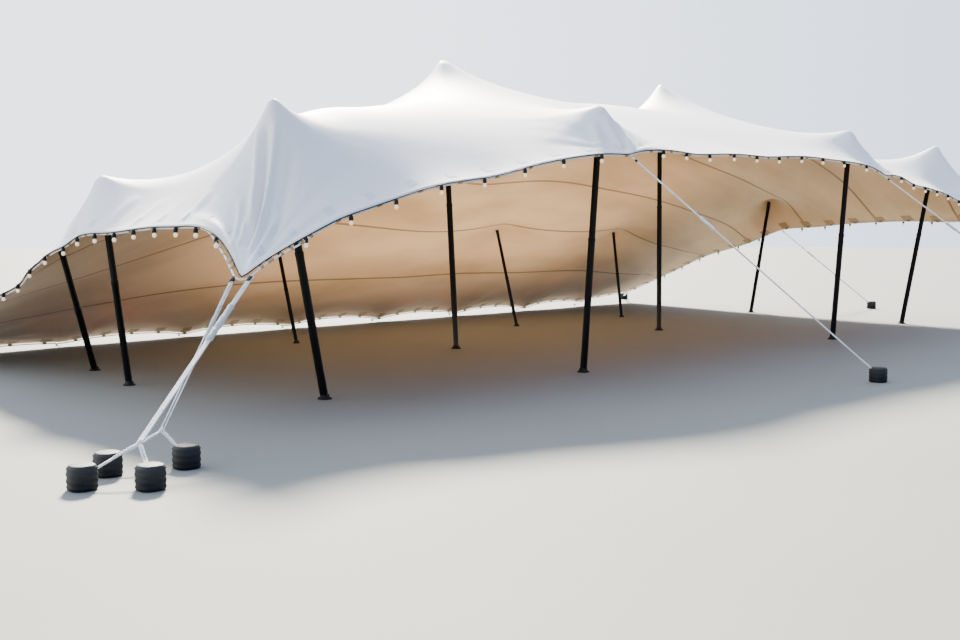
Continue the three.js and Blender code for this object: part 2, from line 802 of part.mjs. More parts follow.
BACK_TIES.forEach((tie, k) => {
  const top = onEdgeRope(clothPoint(tie.along, CLOTH_DEPTH));
  const ground = new THREE.Vector3(tie.at[0], tie.at[1] + PEG_SET_BACK, PEG_HEIGHT / 2);
  const strap = solidOf(tubeGeometry([top, ground], GUY_RADIUS, STRAP_SIDES));
  const profile = [[0, 0], [PEG_RADIUS, 0], [PEG_HEAD_RADIUS, PEG_HEIGHT], [0, PEG_HEIGHT]];
  const peg = solidOf(turnedGeometry(profile, PEG_SIDES).translate(ground.x, ground.y, 0));
  const whole = mainBody(strap.add(peg).subtract(rimFilling));
  addPiece("back_peg_" + (k + 1), geometryOf(whole), PEG_FINISH);
});

// The origin goes to the middle of the whole tent's footprint, on the ground.
const reachBox = new THREE.Box3().setFromObject(tent);
const middle = reachBox.getCenter(new THREE.Vector3());
tent.position.set(-middle.x, -middle.y, 0);

export default tent;
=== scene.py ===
# %% [markdown]
# A stretch tent is one sheet of springy coated cloth. Poles push it up from below, ropes pull its
# edge down and out, and between them it finds its own saddle shape. This lesson dresses the packed
# model of such a tent: first the camera and the light, then the cloth, and then each rope, lamp,
# pole and anchor. The imported model comes in first, and its box is kept.

# %% The imported model
import math

import bmesh
import bpy
import numpy as np
from mathutils import Matrix, Vector


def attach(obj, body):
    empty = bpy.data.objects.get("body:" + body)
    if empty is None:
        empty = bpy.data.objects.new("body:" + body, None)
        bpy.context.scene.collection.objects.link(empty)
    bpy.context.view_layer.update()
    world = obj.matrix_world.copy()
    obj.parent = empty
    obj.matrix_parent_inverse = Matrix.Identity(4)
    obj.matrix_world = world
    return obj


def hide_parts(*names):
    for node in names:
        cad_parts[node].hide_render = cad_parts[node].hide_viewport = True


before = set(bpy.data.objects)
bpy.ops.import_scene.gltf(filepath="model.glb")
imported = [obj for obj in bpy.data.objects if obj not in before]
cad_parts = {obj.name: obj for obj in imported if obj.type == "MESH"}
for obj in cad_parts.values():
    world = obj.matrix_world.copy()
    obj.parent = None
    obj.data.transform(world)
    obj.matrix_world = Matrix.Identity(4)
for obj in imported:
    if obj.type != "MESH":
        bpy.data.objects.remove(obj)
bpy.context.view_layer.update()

# %% [markdown]
# The camera stands in front of the left corner, 1.47 m above the floor, and looks across the open
# front. A lens of 40.5 mm on a 36 mm wide sensor gives the same spread as the photograph. In the
# picture, 960 pixels wide, that is a focal length of 1080 pixels. The horizon lies 84 pixels above
# its middle, so the camera looks a little down.

# %% The camera
HEADING = math.radians(46.4)
HORIZON_UP, FOCAL = 84, 1080
DOWN = math.atan(HORIZON_UP / FOCAL)
camera = bpy.data.objects.new("camera", bpy.data.cameras.new("camera"))
camera.data.sensor_width = 36
camera.data.lens = 40.5
camera.data.clip_end = 300
camera.location = (-11.72, -10.495, 1.47)
looks = Vector((math.cos(HEADING) * math.cos(DOWN), math.sin(HEADING) * math.cos(DOWN), -math.sin(DOWN)))
camera.rotation_mode = "QUATERNION"
camera.rotation_quaternion = looks.to_track_quat("-Z", "Y")
bpy.context.scene.collection.objects.link(camera)
bpy.context.scene.camera = camera
print("camera looks along", tuple(round(v, 3) for v in looks))

# %% [markdown]
# Every finish below is built from nodes. Three helpers keep that short. The first turns an sRGB hex
# colour, as a paint chart gives it, into the linear colour that a shader works with. The second
# links or sets the sockets of a node, and the third adds a node with its settings and sockets. A Mix
# node that blends colours has its share in socket 0, its two colours in sockets 6 and 7 and its
# result in output 2, so these four have names.

# %% Helpers for finishes
SHARE, FROM, TO, MIXED = 0, 6, 7, 2
BLEND = {"data_type": "RGBA"}


def linear(colour):
    parts = [int(colour[i : i + 2], 16) / 255 for i in (0, 2, 4)]
    return [p / 12.92 if p <= 0.04045 else ((p + 0.055) / 1.055) ** 2.4 for p in parts] + [1.0]


def plug(node, sockets):
    for name, value in sockets.items():
        if isinstance(value, bpy.types.NodeSocket):
            node.id_data.links.new(value, node.inputs[name])
        else:
            node.inputs[name].default_value = value


def add(tree, kind, sockets=None, **settings):
    node = tree.nodes.new("ShaderNode" + kind)
    for name, value in settings.items():
        setattr(node, name, value)
    plug(node, sockets or {})
    return node


def finish_named(name):
    material = bpy.data.materials.new(name)
    material.use_nodes = True
    material.node_tree.nodes.clear()
    shader = add(material.node_tree, "BsdfPrincipled")
    add(material.node_tree, "OutputMaterial", {"Surface": shader.outputs["BSDF"]})
    return material, material.node_tree, shader


print("white cloth in linear light:", [round(v, 3) for v in linear("EFEDEA")])

# %% [markdown]
# The studio is plain: a pale floor, a soft sky and one low sun. The photograph was taken against the
# light. The sun stands behind the tent, so it skims the top and shines a little through the rear
# slope, and the side that faces the camera lies in a cool shade. The sky is brightest behind the
# tent on the left, and bluer and darker behind the camera. A wide warm lamp close to the floor, which
# the camera can't see, gives the warm light that comes up under the cloth.

# %% Floor and light
floor_finish, tree, shader = finish_named("pale_studio_floor")
place = add(tree, "TexCoord").outputs["Object"]
grain = add(tree, "TexNoise", {"Vector": place, "Scale": 0.6, "Detail": 3.0})
tone = add(tree, "Mix", {SHARE: grain.outputs["Fac"], FROM: linear("7B7E79"), TO: linear("838680")}, **BLEND)
plug(shader, {"Base Color": tone.outputs[MIXED], "Roughness": 0.8})
FLOOR_REACH = 120
floor_bm = bmesh.new()
bmesh.ops.create_grid(floor_bm, x_segments=1, y_segments=1, size=FLOOR_REACH)
floor_mesh = bpy.data.meshes.new("floor")
floor_bm.to_mesh(floor_mesh)
floor_bm.free()
floor_mesh.materials.append(floor_finish)
floor = bpy.data.objects.new("floor", floor_mesh)
bpy.context.scene.collection.objects.link(floor)

SUN_TURN, SUN_RISE, BRIGHT_TURN = math.radians(55), math.radians(35), math.radians(105)
sun_way = Vector(
    (math.cos(SUN_TURN) * math.cos(SUN_RISE), math.sin(SUN_TURN) * math.cos(SUN_RISE), math.sin(SUN_RISE))
)
world = bpy.data.worlds.new("soft_sky")
bpy.context.scene.world = world
world.use_nodes = True
sky_tree = world.node_tree
sky_way = add(sky_tree, "TexCoord").outputs["Generated"]
bright_way = (math.cos(BRIGHT_TURN), math.sin(BRIGHT_TURN), 0.0)
facing = add(sky_tree, "VectorMath", {0: sky_way, 1: bright_way}, operation="DOT_PRODUCT")
bright = add(sky_tree, "MapRange", {"Value": facing.outputs["Value"], "From Min": -0.5, "From Max": 0.6})
sky_tone = add(
    sky_tree, "Mix", {SHARE: bright.outputs["Result"], FROM: linear("5F749B"), TO: linear("E6EDF8")}, **BLEND
)
plug(sky_tree.nodes["Background"], {"Color": sky_tone.outputs[MIXED], "Strength": 3.4})


def lamp(name, kind, power, colour, place, aim, **settings):
    data = bpy.data.lights.new(name, kind)
    data.energy = power
    data.color = linear(colour)[:3]
    for key, value in settings.items():
        setattr(data, key, value)
    light = bpy.data.objects.new(name, data)
    light.location = place
    light.rotation_euler = (Vector(aim) - Vector(place)).to_track_quat("-Z", "Y").to_euler()
    bpy.context.scene.collection.objects.link(light)
    light.visible_camera = False


GLOW_AT, GLOW_AIM = (-0.2, 0.5, 0.03), (-0.2, 0.5, 3)
lamp("low_sun", "SUN", 27.0, "FFF4E4", tuple(sun_way * 20), (0, 0, 0), angle=math.radians(9))
lamp("warm_low_glow", "AREA", 240, "FFE6C6", GLOW_AT, GLOW_AIM, shape="RECTANGLE", size=7.5, size_y=4.0)

# %% [markdown]
# The cloth is fixed at about sixty places: pole heads, corners, ties and points of its curved edge.
# Each place has a position on the flat cloth, s along the tent and t back from the open front, and
# a position in the air. Between them the cloth settles smoothly. That is a scattered-data problem,
# and a sum of soft cones solves it: every held place spreads a pull that grows with distance to the
# power 0.6, and one set of linear equations finds how strong each pull is. The same sum then gives
# the cloth anywhere, so the sheet, its seams, its rope and its lamps all agree.

# %% Where the cloth is held
# Each pole: its foot, its head, the head's place on the flat cloth, the tube's radius and the peak's height
POLES = {
    "pole_king_left": ((-2.065, 2.742), (-2.365, 2.662, 3.669), (-2.3, 2.95), 0.038, 0.3),
    "pole_king_right": ((2.1, 2.6), (2.047, 2.603, 3.803), (2.1, 2.95), 0.038, 0.3),
    "pole_front_left": ((-5.89, 0.31), (-6.462, 0.208, 2.61), (-6.3, 1.1), 0.038, 0.3),
    "pole_front_centre_left": ((-2.72, -0.02), (-2.72, -0.229, 2.803), (-2.8, 0.75), 0.038, 0.3),
    "pole_front_centre_right": ((2.68, -0.02), (2.7, -0.201, 2.922), (2.8, 0.75), 0.038, 0.3),
    "pole_front_right": ((6.08, 0.56), (6.501, 0.249, 2.958), (6.3, 1.1), 0.038, 0.25),
    "pole_side_left": ((-6.76, 2.38), (-6.997, 2.4, 2.038), (-6.85, 3.4), 0.034, 0.15),
    "pole_side_left_rear": ((-6.49, 3.77), (-7.037, 3.299, 1.395), (-6.95, 4.4), 0.034, 0),
    "pole_side_right": ((6.6, 3.8), (7.104, 3.744, 2.215), (6.9, 3.9), 0.034, 0.15),
    "pole_rear_left": ((-3.18, 4.78), (-3.15, 5.301, 1.464), (-3.2, 6.25), 0.027, 0.15),
    "pole_rear_centre": ((1.035, 4.675), (1.094, 5.197, 1.569), (1, 6.25), 0.027, 0.15),
    "pole_rear_right": ((3.85, 4.76), (4.118, 5.193, 1.542), (4.1, 6.25), 0.027, 0.15),
}
LENGTH, DEPTH = 15.0, 8.4
LEFT, RIGHT = -LENGTH / 2, LENGTH / 2
TIP, EDGE = 0.06, 0.35
held = [(pole[2], pole[1], TIP) for pole in POLES.values()]
held += [
    ((LEFT, 0), (-7.333, -0.699, 1.174), TIP),
    ((RIGHT, 0), (7.7, -0.95, 1.186), TIP),
    ((LEFT, DEPTH), (-7.7, 6.2, 0.077), TIP),
    ((RIGHT, DEPTH), (7.398, 7.502, 0.232), TIP),
    ((-2.95, 0), (-2.9, -0.751, 2.292), TIP),
    ((2.75, 0), (2.701, -0.732, 2.299), TIP),
]
FRONT_EDGE = [
    (-6.75, (-6.698, -0.541, 1.445)),
    (-5.9, (-5.85, -0.501, 1.749)),
    (-4.7, (-4.62, -0.58, 2.016)),
    (-3.75, (-3.7, -0.66, 2.219)),
    (-1.5, (-1.498, -0.622, 2.372)),
    (0, (0, -0.58, 2.422)),
    (1.5, (1.5, -0.621, 2.456)),
    (3.75, (3.703, -0.665, 2.215)),
    (4.7, (4.619, -0.579, 2.157)),
    (5.9, (5.849, -0.499, 2.03)),
    (6.75, (6.85, -0.68, 2.132)),
]
LEFT_EDGE = [
    (0.5, (-7.218, -0.292, 1.392)),
    (0.9, (-7.196, -0.002, 1.515)),
    (1.6, (-7.201, 0.602, 1.551)),
    (2.7, (-7.277, 1.599, 1.501)),
    (3.7, (-7.335, 2.501, 1.377)),
    (4.8, (-7.426, 3.399, 0.987)),
    (6.5, (-7.552, 4.701, 0.571)),
]
RIGHT_EDGE = [
    (0.6, (7.45, -0.35, 1.8)),
    (1.2, (7.35, 0.169, 1.724)),
    (2.4, (7.251, 1.596, 1.735)),
    (3.6, (7.253, 2.994, 1.642)),
    (4.8, (7.305, 4.293, 1.359)),
    (6, (7.355, 5.393, 1.067)),
    (7.2, (7.404, 6.494, 0.624)),
]
BACK_TIES = [
    (-5.7, (-5.701, 6.55, 0.06)),
    (-3.8, (-3.799, 6.748, 0.057)),
    (-1.9, (-1.9, 6.9, 0.06)),
    (0, (0, 7, 0.061)),
    (1.9, (1.9, 7.1, 0.063)),
    (3.8, (3.801, 7.2, 0.064)),
    (5.7, (5.702, 7.349, 0.104)),
]
held += [((s, 0), xyz, EDGE) for s, xyz in FRONT_EDGE]
held += [((LEFT, t), xyz, EDGE) for t, xyz in LEFT_EDGE]
held += [((RIGHT, t), xyz, EDGE) for t, xyz in RIGHT_EDGE]
held += [((s, DEPTH), xyz, TIP) for s, xyz in BACK_TIES]
held += [
    ((-6.92, 3.9), (-7.023, 2.86, 1.677), 0.3),
    ((-4.3, 2.1), (-4.297, 1.402, 2.848), 0.6),
    ((-5.4, 1.7), (-5.512, 0.883, 2.663), 0.5),
    ((-5, 3.4), (-5.002, 2.606, 2.131), 0.6),
    ((-0.1, 2.1), (-0.1, 1.202, 3.093), 0.6),
    ((4.9, 2.3), (4.792, 1.754, 2.893), 0.6),
    ((-0.1, 3.2), (-0.094, 2.498, 3.247), 0.6),
    ((-3.5, 4.8), (-3.526, 3.985, 2.631), 0.6),
    ((-0.5, 4.8), (-0.508, 3.994, 2.236), 0.6),
    ((2.5, 4.8), (2.434, 4.082, 2.266), 0.6),
    ((5, 4.8), (5.009, 4.045, 1.913), 0.6),
]
print("held places:", len(held))

# %% [markdown]
# The equations are small, one for each held place and three more for an overall tilt, so numpy
# solves them at once. The tent was drawn from its front pole line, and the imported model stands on
# the middle of its footprint, so one shift brings the drawing into the model's frame.

# %% The cloth as a function
ORIGIN = np.array((-0.17, -2.825, 0.0))
held_st = np.array([h[0] for h in held], float)
held_xyz = np.array([h[1] for h in held], float)
held_round = np.array([h[2] for h in held], float)
SPREAD, PEAK_FADE, PEAK_ROUND = 0.6, 0.5, 0.05
HEADS = {name: (*pole[2], pole[4]) for name, pole in POLES.items()}


def pulls(s, t):
    away = np.sqrt((s[..., None] - held_st[:, 0]) ** 2 + (t[..., None] - held_st[:, 1]) ** 2 + held_round**2)
    return np.concatenate([away**SPREAD, np.ones_like(s)[..., None], s[..., None], t[..., None]], axis=-1)


def peaks(s, t):
    height = np.zeros_like(s)
    for pole_s, pole_t, peak in HEADS.values():
        away = np.sqrt((s - pole_s) ** 2 + (t - pole_t) ** 2 + PEAK_ROUND**2)
        height += peak * np.exp(-away / PEAK_FADE)
    return height


system = np.zeros((len(held) + 3, len(held) + 3))
system[: len(held)] = pulls(held_st[:, 0], held_st[:, 1])
system[len(held) :, : len(held)] = system[: len(held), len(held) :].T
held_xyz[:, 2] -= peaks(held_st[:, 0], held_st[:, 1])
strengths = np.linalg.solve(system, np.vstack([held_xyz, np.zeros((3, 3))]))


def smooth_cloth(s, t):
    s, t = np.asarray(s, float), np.asarray(t, float)
    return pulls(s, t) @ strengths + ORIGIN + peaks(s, t)[..., None] * (0, 0, 1)


def cloth_square(s, t, step=0.002):
    """The direction straight off the cloth."""
    along = smooth_cloth(s + step, t) - smooth_cloth(s - step, t)
    back = smooth_cloth(s, t + step) - smooth_cloth(s, t - step)
    across = np.cross(along, back)
    return across / np.linalg.norm(across, axis=-1, keepdims=True)


print("king pole peaks at", smooth_cloth(np.array([-2.3, 2.1]), np.array([2.95, 2.95])).round(3).tolist())

# %% [markdown]
# Pulled cloth is never quite smooth. From a corner or a tie, tight folds run out like the sticks of
# a fan and fade where the pull spreads. Round a pole head they are few and shallow. A fold keeps
# about the same steepness along its run, so its height grows with its width, and here each fan is a
# sum of a few ridge waves round its held place, each less its own mean. Single long creases are added
# one by one: deep ones from the front poles to the corners and ties, and soft ones that run in from
# the left rim. Fixed phases keep every run the same. Over most pole heads the cloth is also pinched
# up to a point, in the last hand's breadth, and over the right king pole it is blunter.

# %% Folds
PINCH, PINCH_FADE, PINCH_ROUND = 0.014, 0.1, 0.03
PINCHES = {"pole_front_centre_left": 0.04, "pole_king_right": -0.026}
FAN_START, RIDGE_MEAN, FAN_PHASE, WAVE_PHASE = 0.22, 0.375, 2.4, 1.7
FAN_WAVES = ((1.0, 1.0), (0.58, 0.7), (1.71, 0.35))
# Each fan: its held place on the flat cloth, its folds in a full turn, their steepness and their run
FANS = [
    ((LEFT, 0), 34, 0.75, 0.9),
    ((RIGHT, 0), 22, 0.26, 1.4),
    ((LEFT, DEPTH), 18, 0.22, 1.5),
    ((RIGHT, DEPTH), 18, 0.24, 1.6),
    ((-2.95, 0), 19, 0.6, 0.5),
    ((2.75, 0), 17, 0.5, 0.5),
    ((-6.3, 1.1), 9, 0.07, 1.3),
    ((6.3, 1.1), 9, 0.06, 1.3),
    ((-2.8, 0.75), 9, 0.07, 0.9),
    ((2.8, 0.75), 9, 0.07, 0.9),
    ((-6.85, 3.4), 8, 0.1, 1.0),
    ((-6.95, 4.4), 8, 0.1, 1.2),
    ((6.9, 3.9), 8, 0.08, 1.2),
]
FANS += [((x, DEPTH), 12, 0.2, 0.8) for x in (-5.7, -3.8, -1.9, 0.0, 1.9, 3.8, 5.7)]
FANS += [((x, 6.25), 8, 0.07, 0.9) for x in (-3.2, 1.0, 4.1)]
# Each crease: where it starts and ends on the flat cloth, its half width and its height
CREASES = [
    ((-6.36, 1.0), (-7.34, 0.2), 0.032, 0.06),
    ((-6.48, 1.15), (-7.28, 0.42), 0.034, 0.05),
    ((-6.44, 1.06), (-7.3, 0.3), 0.034, -0.044),
    ((-6.3, 0.78), (-7.1, 0.16), 0.055, -0.03),
    ((-6.85, 0.86), (-7.42, 0.4), 0.03, 0.034),
    ((-6.75, 0.42), (-7.36, 0.12), 0.032, 0.034),
    ((-6.95, 0.26), (-7.42, 0.06), 0.03, 0.026),
    ((-7.0, 0.92), (-7.46, 0.46), 0.03, 0.026),
    ((-6.9, 0.56), (-7.38, 0.22), 0.024, 0.024),
    ((-7.44, 2.92), (-6.94, 2.82), 0.06, 0.014),
    ((-7.44, 2.7), (-7.1, 2.64), 0.04, 0.008),
    ((-7.44, 2.42), (-7.0, 2.32), 0.045, 0.011),
    ((-7.44, 1.98), (-7.06, 1.9), 0.04, 0.008),
    ((-7.45, 1.54), (-7.02, 1.46), 0.055, 0.014),
    ((-2.83, 0.62), (-2.94, 0.1), 0.033, 0.042),
    ((-2.98, 0.6), (-3.25, 0.05), 0.035, 0.034),
    ((-2.62, 0.6), (-2.8, 0.06), 0.033, 0.028),
    ((-2.72, 0.6), (-2.88, 0.1), 0.03, -0.02),
    ((2.83, 0.6), (2.76, 0.1), 0.035, 0.018),
    ((6.38, 0.98), (7.3, 0.22), 0.045, 0.036),
    ((6.48, 1.12), (7.24, 0.42), 0.045, 0.03),
    ((6.45, 1.04), (7.25, 0.31), 0.04, -0.024),
]


def folds(s, t):
    height = np.zeros_like(s)
    for number, ((fan_s, fan_t), count, steep, run) in enumerate(FANS):
        away = np.hypot(s - fan_s, t - fan_t)
        turn = np.arctan2(t - fan_t, s - fan_s)
        spread = (1 - np.exp(-((away / FAN_START) ** 2))) * np.exp(-((away / run) ** 2))
        for part, (share, weight) in enumerate(FAN_WAVES):
            waves = max(1, round(count * share))
            wave = waves * turn + FAN_PHASE * number + WAVE_PHASE * part
            ridge = ((1 + np.cos(wave)) / 2) ** 2 - RIDGE_MEAN
            height += steep * weight * spread * away / waves * ridge
    for (from_s, from_t), (to_s, to_t), width, high in CREASES:
        run_s, run_t = to_s - from_s, to_t - from_t
        run = math.hypot(run_s, run_t)
        share = ((s - from_s) * run_s + (t - from_t) * run_t) / run**2
        aside = ((t - from_t) * run_s - (s - from_s) * run_t) / run
        ends = np.clip(share, 0, 1) * np.clip(1 - share, 0, 1)
        height += high * np.exp(-((aside / width) ** 2)) * np.sqrt(4 * ends)
    for name, (pole_s, pole_t, peak) in HEADS.items():
        away = np.sqrt((s - pole_s) ** 2 + (t - pole_t) ** 2 + PINCH_ROUND**2)
        height += PINCHES.get(name, PINCH) * np.exp(-away / PINCH_FADE)
    return height


def cloth(s, t, off=0.0):
    s, t = np.asarray(s, float), np.asarray(t, float)
    lift = (folds(s, t) + off)[..., None]
    return smooth_cloth(s, t) + cloth_square(s, t) * lift


probe_s, probe_t = np.meshgrid(np.linspace(LEFT, RIGHT, 151), np.linspace(0, DEPTH, 85))
print("folds from", folds(probe_s, probe_t).min().round(4), "to", folds(probe_s, probe_t).max().round(4), "m")

# %% [markdown]
# The top of the sheet is a stretch polyester knit with a white polyurethane coating. The coating
# fills the knit, so it looks like matt rubbery cloth: a broad soft highlight, no sparkle, a little
# unevenness of tone, and a hem line stitched along the edge. The knit is about a millimetre from
# rib to rib; it is drawn at 9 mm here, the finest that the picture holds.

# %% White coated cloth
UV = "cloth"
HEM = 0.035
white_cloth, tree, shader = finish_named("white_pu_coated_stretch_polyester")
uv = add(tree, "UVMap", uv_map=UV).outputs["UV"]
cloudy = add(tree, "TexNoise", {"Vector": uv, "Scale": 1.3, "Detail": 4.0})
tone = add(tree, "Mix", {SHARE: cloudy.outputs["Fac"], FROM: linear("E9E8E6"), TO: linear("F6F5F3")}, **BLEND)
st = add(tree, "SeparateXYZ", {0: uv})
from_left = add(tree, "Math", {0: st.outputs["X"], 1: LENGTH / 2}, operation="ADD")
from_right = add(tree, "Math", {0: LENGTH / 2, 1: st.outputs["X"]}, operation="SUBTRACT")
from_back = add(tree, "Math", {0: DEPTH, 1: st.outputs["Y"]}, operation="SUBTRACT")
side_gap = add(tree, "Math", {0: from_left.outputs[0], 1: from_right.outputs[0]}, operation="MINIMUM")
end_gap = add(tree, "Math", {0: st.outputs["Y"], 1: from_back.outputs[0]}, operation="MINIMUM")
rim_gap = add(tree, "Math", {0: side_gap.outputs[0], 1: end_gap.outputs[0]}, operation="MINIMUM")
in_hem = add(tree, "Math", {0: rim_gap.outputs[0], 1: HEM}, operation="LESS_THAN").outputs[0]
hem_tone = add(tree, "Mix", {SHARE: in_hem, FROM: tone.outputs[MIXED], TO: linear("DEDDDB")}, **BLEND)
ribs = add(tree, "TexWave", {"Vector": uv, "Scale": 34.0, "Distortion": 0.6}, bands_direction="X")
soft = add(tree, "TexNoise", {"Vector": uv, "Scale": 5.0, "Detail": 3.0})
creased = add(
    tree, "Math", {0: soft.outputs["Fac"], 1: 6.0, 2: ribs.outputs["Fac"]}, operation="MULTIPLY_ADD"
)
hemmed = add(tree, "Math", {0: in_hem, 1: 2.0, 2: creased.outputs[0]}, operation="MULTIPLY_ADD")
relief = add(tree, "Bump", {"Height": hemmed.outputs[0], "Strength": 0.35, "Distance": 0.0012})
plug(shader, {"Base Color": hem_tone.outputs[MIXED], "Normal": relief.outputs["Normal"]})
plug(shader, {"Roughness": 0.55, "IOR": 1.46, "Sheen Weight": 0.12, "Sheen Roughness": 0.4})
print(white_cloth.name, "nodes:", len(tree.nodes))

# %% [markdown]
# Underneath, the same cloth is left in its own sand colour, as the dyed knit shows without the
# white coat. It is drier and rougher than the top, and its colour carries soft painted mottling:
# long patches of painted dappled light and shade. It is thin enough for the sun to shine through,
# and subsurface scattering in the shader lets that light in. The panels are joined by lapped,
# heat-taped seams that run the long way, and the tape is darker.

# %% Sand cloth and seam tape
def knitted(name, light, dark, rough, rib_scale, through=0.0):
    material, tree, shader = finish_named(name)
    uv = add(tree, "UVMap", uv_map=UV).outputs["UV"]
    drawn = add(tree, "Mapping", {"Vector": uv, "Rotation": (0, 0, 0.5), "Scale": (0.55, 1.5, 1)})
    # Soft stretched noise paints long patches of dappled light and shade into the colour.
    cloud = add(tree, "TexNoise", {"Vector": drawn.outputs[0], "Scale": 0.8, "Detail": 4.0, "Roughness": 0.5})
    painted_dapples = add(tree, "MapRange", {"Value": cloud.outputs["Fac"], "From Min": 0.34, "From Max": 0.6})
    tone = add(tree, "Mix", {SHARE: painted_dapples.outputs["Result"], FROM: linear(dark), TO: linear(light)}, **BLEND)
    waves = {"Vector": uv, "Scale": rib_scale, "Distortion": 0.8}
    ribs, rows = [add(tree, "TexWave", waves, bands_direction=way) for way in ("X", "Y")]
    crossed = add(tree, "Math", {0: ribs.outputs["Fac"], 1: rows.outputs["Fac"]}, operation="MULTIPLY")
    relief = add(tree, "Bump", {"Height": crossed.outputs[0], "Strength": 0.3, "Distance": 0.001})
    plug(shader, {"Base Color": tone.outputs[MIXED], "Normal": relief.outputs["Normal"]})
    plug(shader, {"Roughness": rough, "IOR": 1.46, "Sheen Weight": 0.2, "Sheen Roughness": 0.5})
    plug(shader, {"Subsurface Weight": through, "Subsurface Scale": 0.005})
    plug(shader, {"Subsurface Radius": (1.0, 0.86, 0.66)})
    return material


sand_cloth = knitted("sand_dyed_polyester_knit", "DABD96", "C0A077", 0.78, 34.0, through=0.42)
seam_tape = knitted("heat_sealed_seam_tape", "93744D", "83663F", 0.6, 60.0)
hem_edge = knitted("folded_white_hem", "E6E3DE", "D8D4CD", 0.7, 60.0)
print("cloth finishes:", [m.name for m in (sand_cloth, seam_tape, hem_edge)])

# %% [markdown]
# The sheet starts as one flat grid from a bmesh operator. Its rows and columns are then spaced out
# unevenly, close together at the front corners where the folds are tight and wider in the calm
# middle, so that the faces go where the shape needs them. Each crossing is lifted to its place by
# the cloth function. A Solidify modifier gives it the other side and a rim, each with its own
# finish, and it is applied, because the taped seams are marked on the finished inner side.

# %% The canopy sheet
SEAM_LINES = [1.2, 2.4, 3.6, 4.8, 6.0, 7.2]
SEAM_HALF, SHEET = 0.018, 0.006
TOP, INNER, RIM, TAPE = range(4)
COLUMN_GAPS = [
    (LEFT, 0.023), (-6.3, 0.026), (-5.4, 0.07), (-3.6, 0.07), (-2.9, 0.04), (-2.2, 0.05), (-1.6, 0.085),
    (1.4, 0.085), (2.1, 0.05), (2.8, 0.045), (3.6, 0.08), (5.2, 0.08), (6.4, 0.04), (RIGHT, 0.036),
]
ROW_GAPS = [
    (0, 0.025), (1.2, 0.029), (1.8, 0.07), (2.6, 0.07), (2.95, 0.045), (3.4, 0.05), (4.4, 0.055),
    (5.0, 0.085), (5.8, 0.085), (6.25, 0.055), (6.7, 0.08), (7.9, 0.058), (DEPTH, 0.045),
]


def spaced(low, high, gaps):
    """Lines from low to high whose spacing follows (place, gap) pairs."""
    fine = np.linspace(low, high, 4001)
    gap = np.interp(fine, [g[0] for g in gaps], [g[1] for g in gaps])
    steps = np.concatenate([[0], np.cumsum((fine[1] - fine[0]) / gap[:-1])])
    count = int(round(steps[-1]))
    return np.interp(np.linspace(0, steps[-1], count + 1), steps, fine)


s_lines = spaced(LEFT, RIGHT, COLUMN_GAPS)
t_lines = spaced(0, DEPTH, ROW_GAPS)
for seam in SEAM_LINES:
    t_lines = t_lines[np.abs(t_lines - seam) > 2 * SEAM_HALF]
    t_lines = np.sort(np.append(t_lines, [seam - SEAM_HALF, seam, seam + SEAM_HALF]))

sheet_bm = bmesh.new()
columns, rows = len(s_lines) - 1, len(t_lines) - 1
bmesh.ops.create_grid(sheet_bm, x_segments=columns, y_segments=rows, size=1)
s_at = np.array([s_lines[round((v.co.x + 1) / 2 * columns)] for v in sheet_bm.verts])
t_at = np.array([t_lines[round((v.co.y + 1) / 2 * rows)] for v in sheet_bm.verts])
for vertex, point in zip(sheet_bm.verts, cloth(s_at, t_at)):
    vertex.co = point
uv_layer = sheet_bm.loops.layers.uv.new(UV)
for face in sheet_bm.faces:
    face.smooth = True
    for loop in face.loops:
        loop[uv_layer].uv = (s_at[loop.vert.index], t_at[loop.vert.index])
print("canopy grid:", columns, "by", rows, "faces:", columns * rows)

# %% [markdown]
# Every finished piece goes through one short function, which makes the object, gives it its
# finishes, hides the imported parts that it stands for, and hangs it under the tent's root, so that
# it moves with the tent.

# %% The canopy becomes a piece
def piece_from(bm, name, finishes, stands_for=(), smooth=True):
    mesh = bpy.data.meshes.new(name)
    for face in bm.faces:
        face.smooth = smooth
    bm.to_mesh(mesh)
    bm.free()
    for finish in finishes:
        mesh.materials.append(finish)
    piece = bpy.data.objects.new(name, mesh)
    bpy.context.scene.collection.objects.link(piece)
    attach(piece, "root")
    if stands_for:
        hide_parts(*stands_for)
    return piece


canopy = piece_from(
    sheet_bm,
    "canopy",
    [white_cloth, sand_cloth, hem_edge, seam_tape],
    [f"canopy_panel_{k}" for k in range(1, 8)],
)
shell = canopy.modifiers.new("cloth_thickness", "SOLIDIFY")
shell.thickness = SHEET
shell.offset = 0
shell.material_offset = INNER
shell.material_offset_rim = RIM
solid = bpy.data.meshes.new_from_object(canopy.evaluated_get(bpy.context.evaluated_depsgraph_get()))
canopy.modifiers.clear()
canopy.data = solid
solid.name = "canopy"
uv_data = solid.uv_layers[UV].data
for face in solid.polygons:
    middle_t = sum(uv_data[k].uv[1] for k in face.loop_indices) / len(face.loop_indices)
    if face.material_index == INNER and min(abs(middle_t - seam) for seam in SEAM_LINES) < SEAM_HALF:
        face.material_index = TAPE
    if face.material_index == RIM:
        face.use_smooth = False
area = sum(face.area for face in solid.polygons if face.material_index == TOP)
print("canopy:", len(solid.polygons), "faces, top area", round(area, 1), "m2")

# %% [markdown]
# Three kinds of long round thing run over this tent: the rope in its edge, the guy ropes, and the
# lighting cable. Each is made as a curve along its route with a round bevel, and turned into a mesh
# at once. The mesh keeps the curve's own texture map, one way along and one way round, and that map
# is stretched to metres here, so that a braid has the same size on every rope.

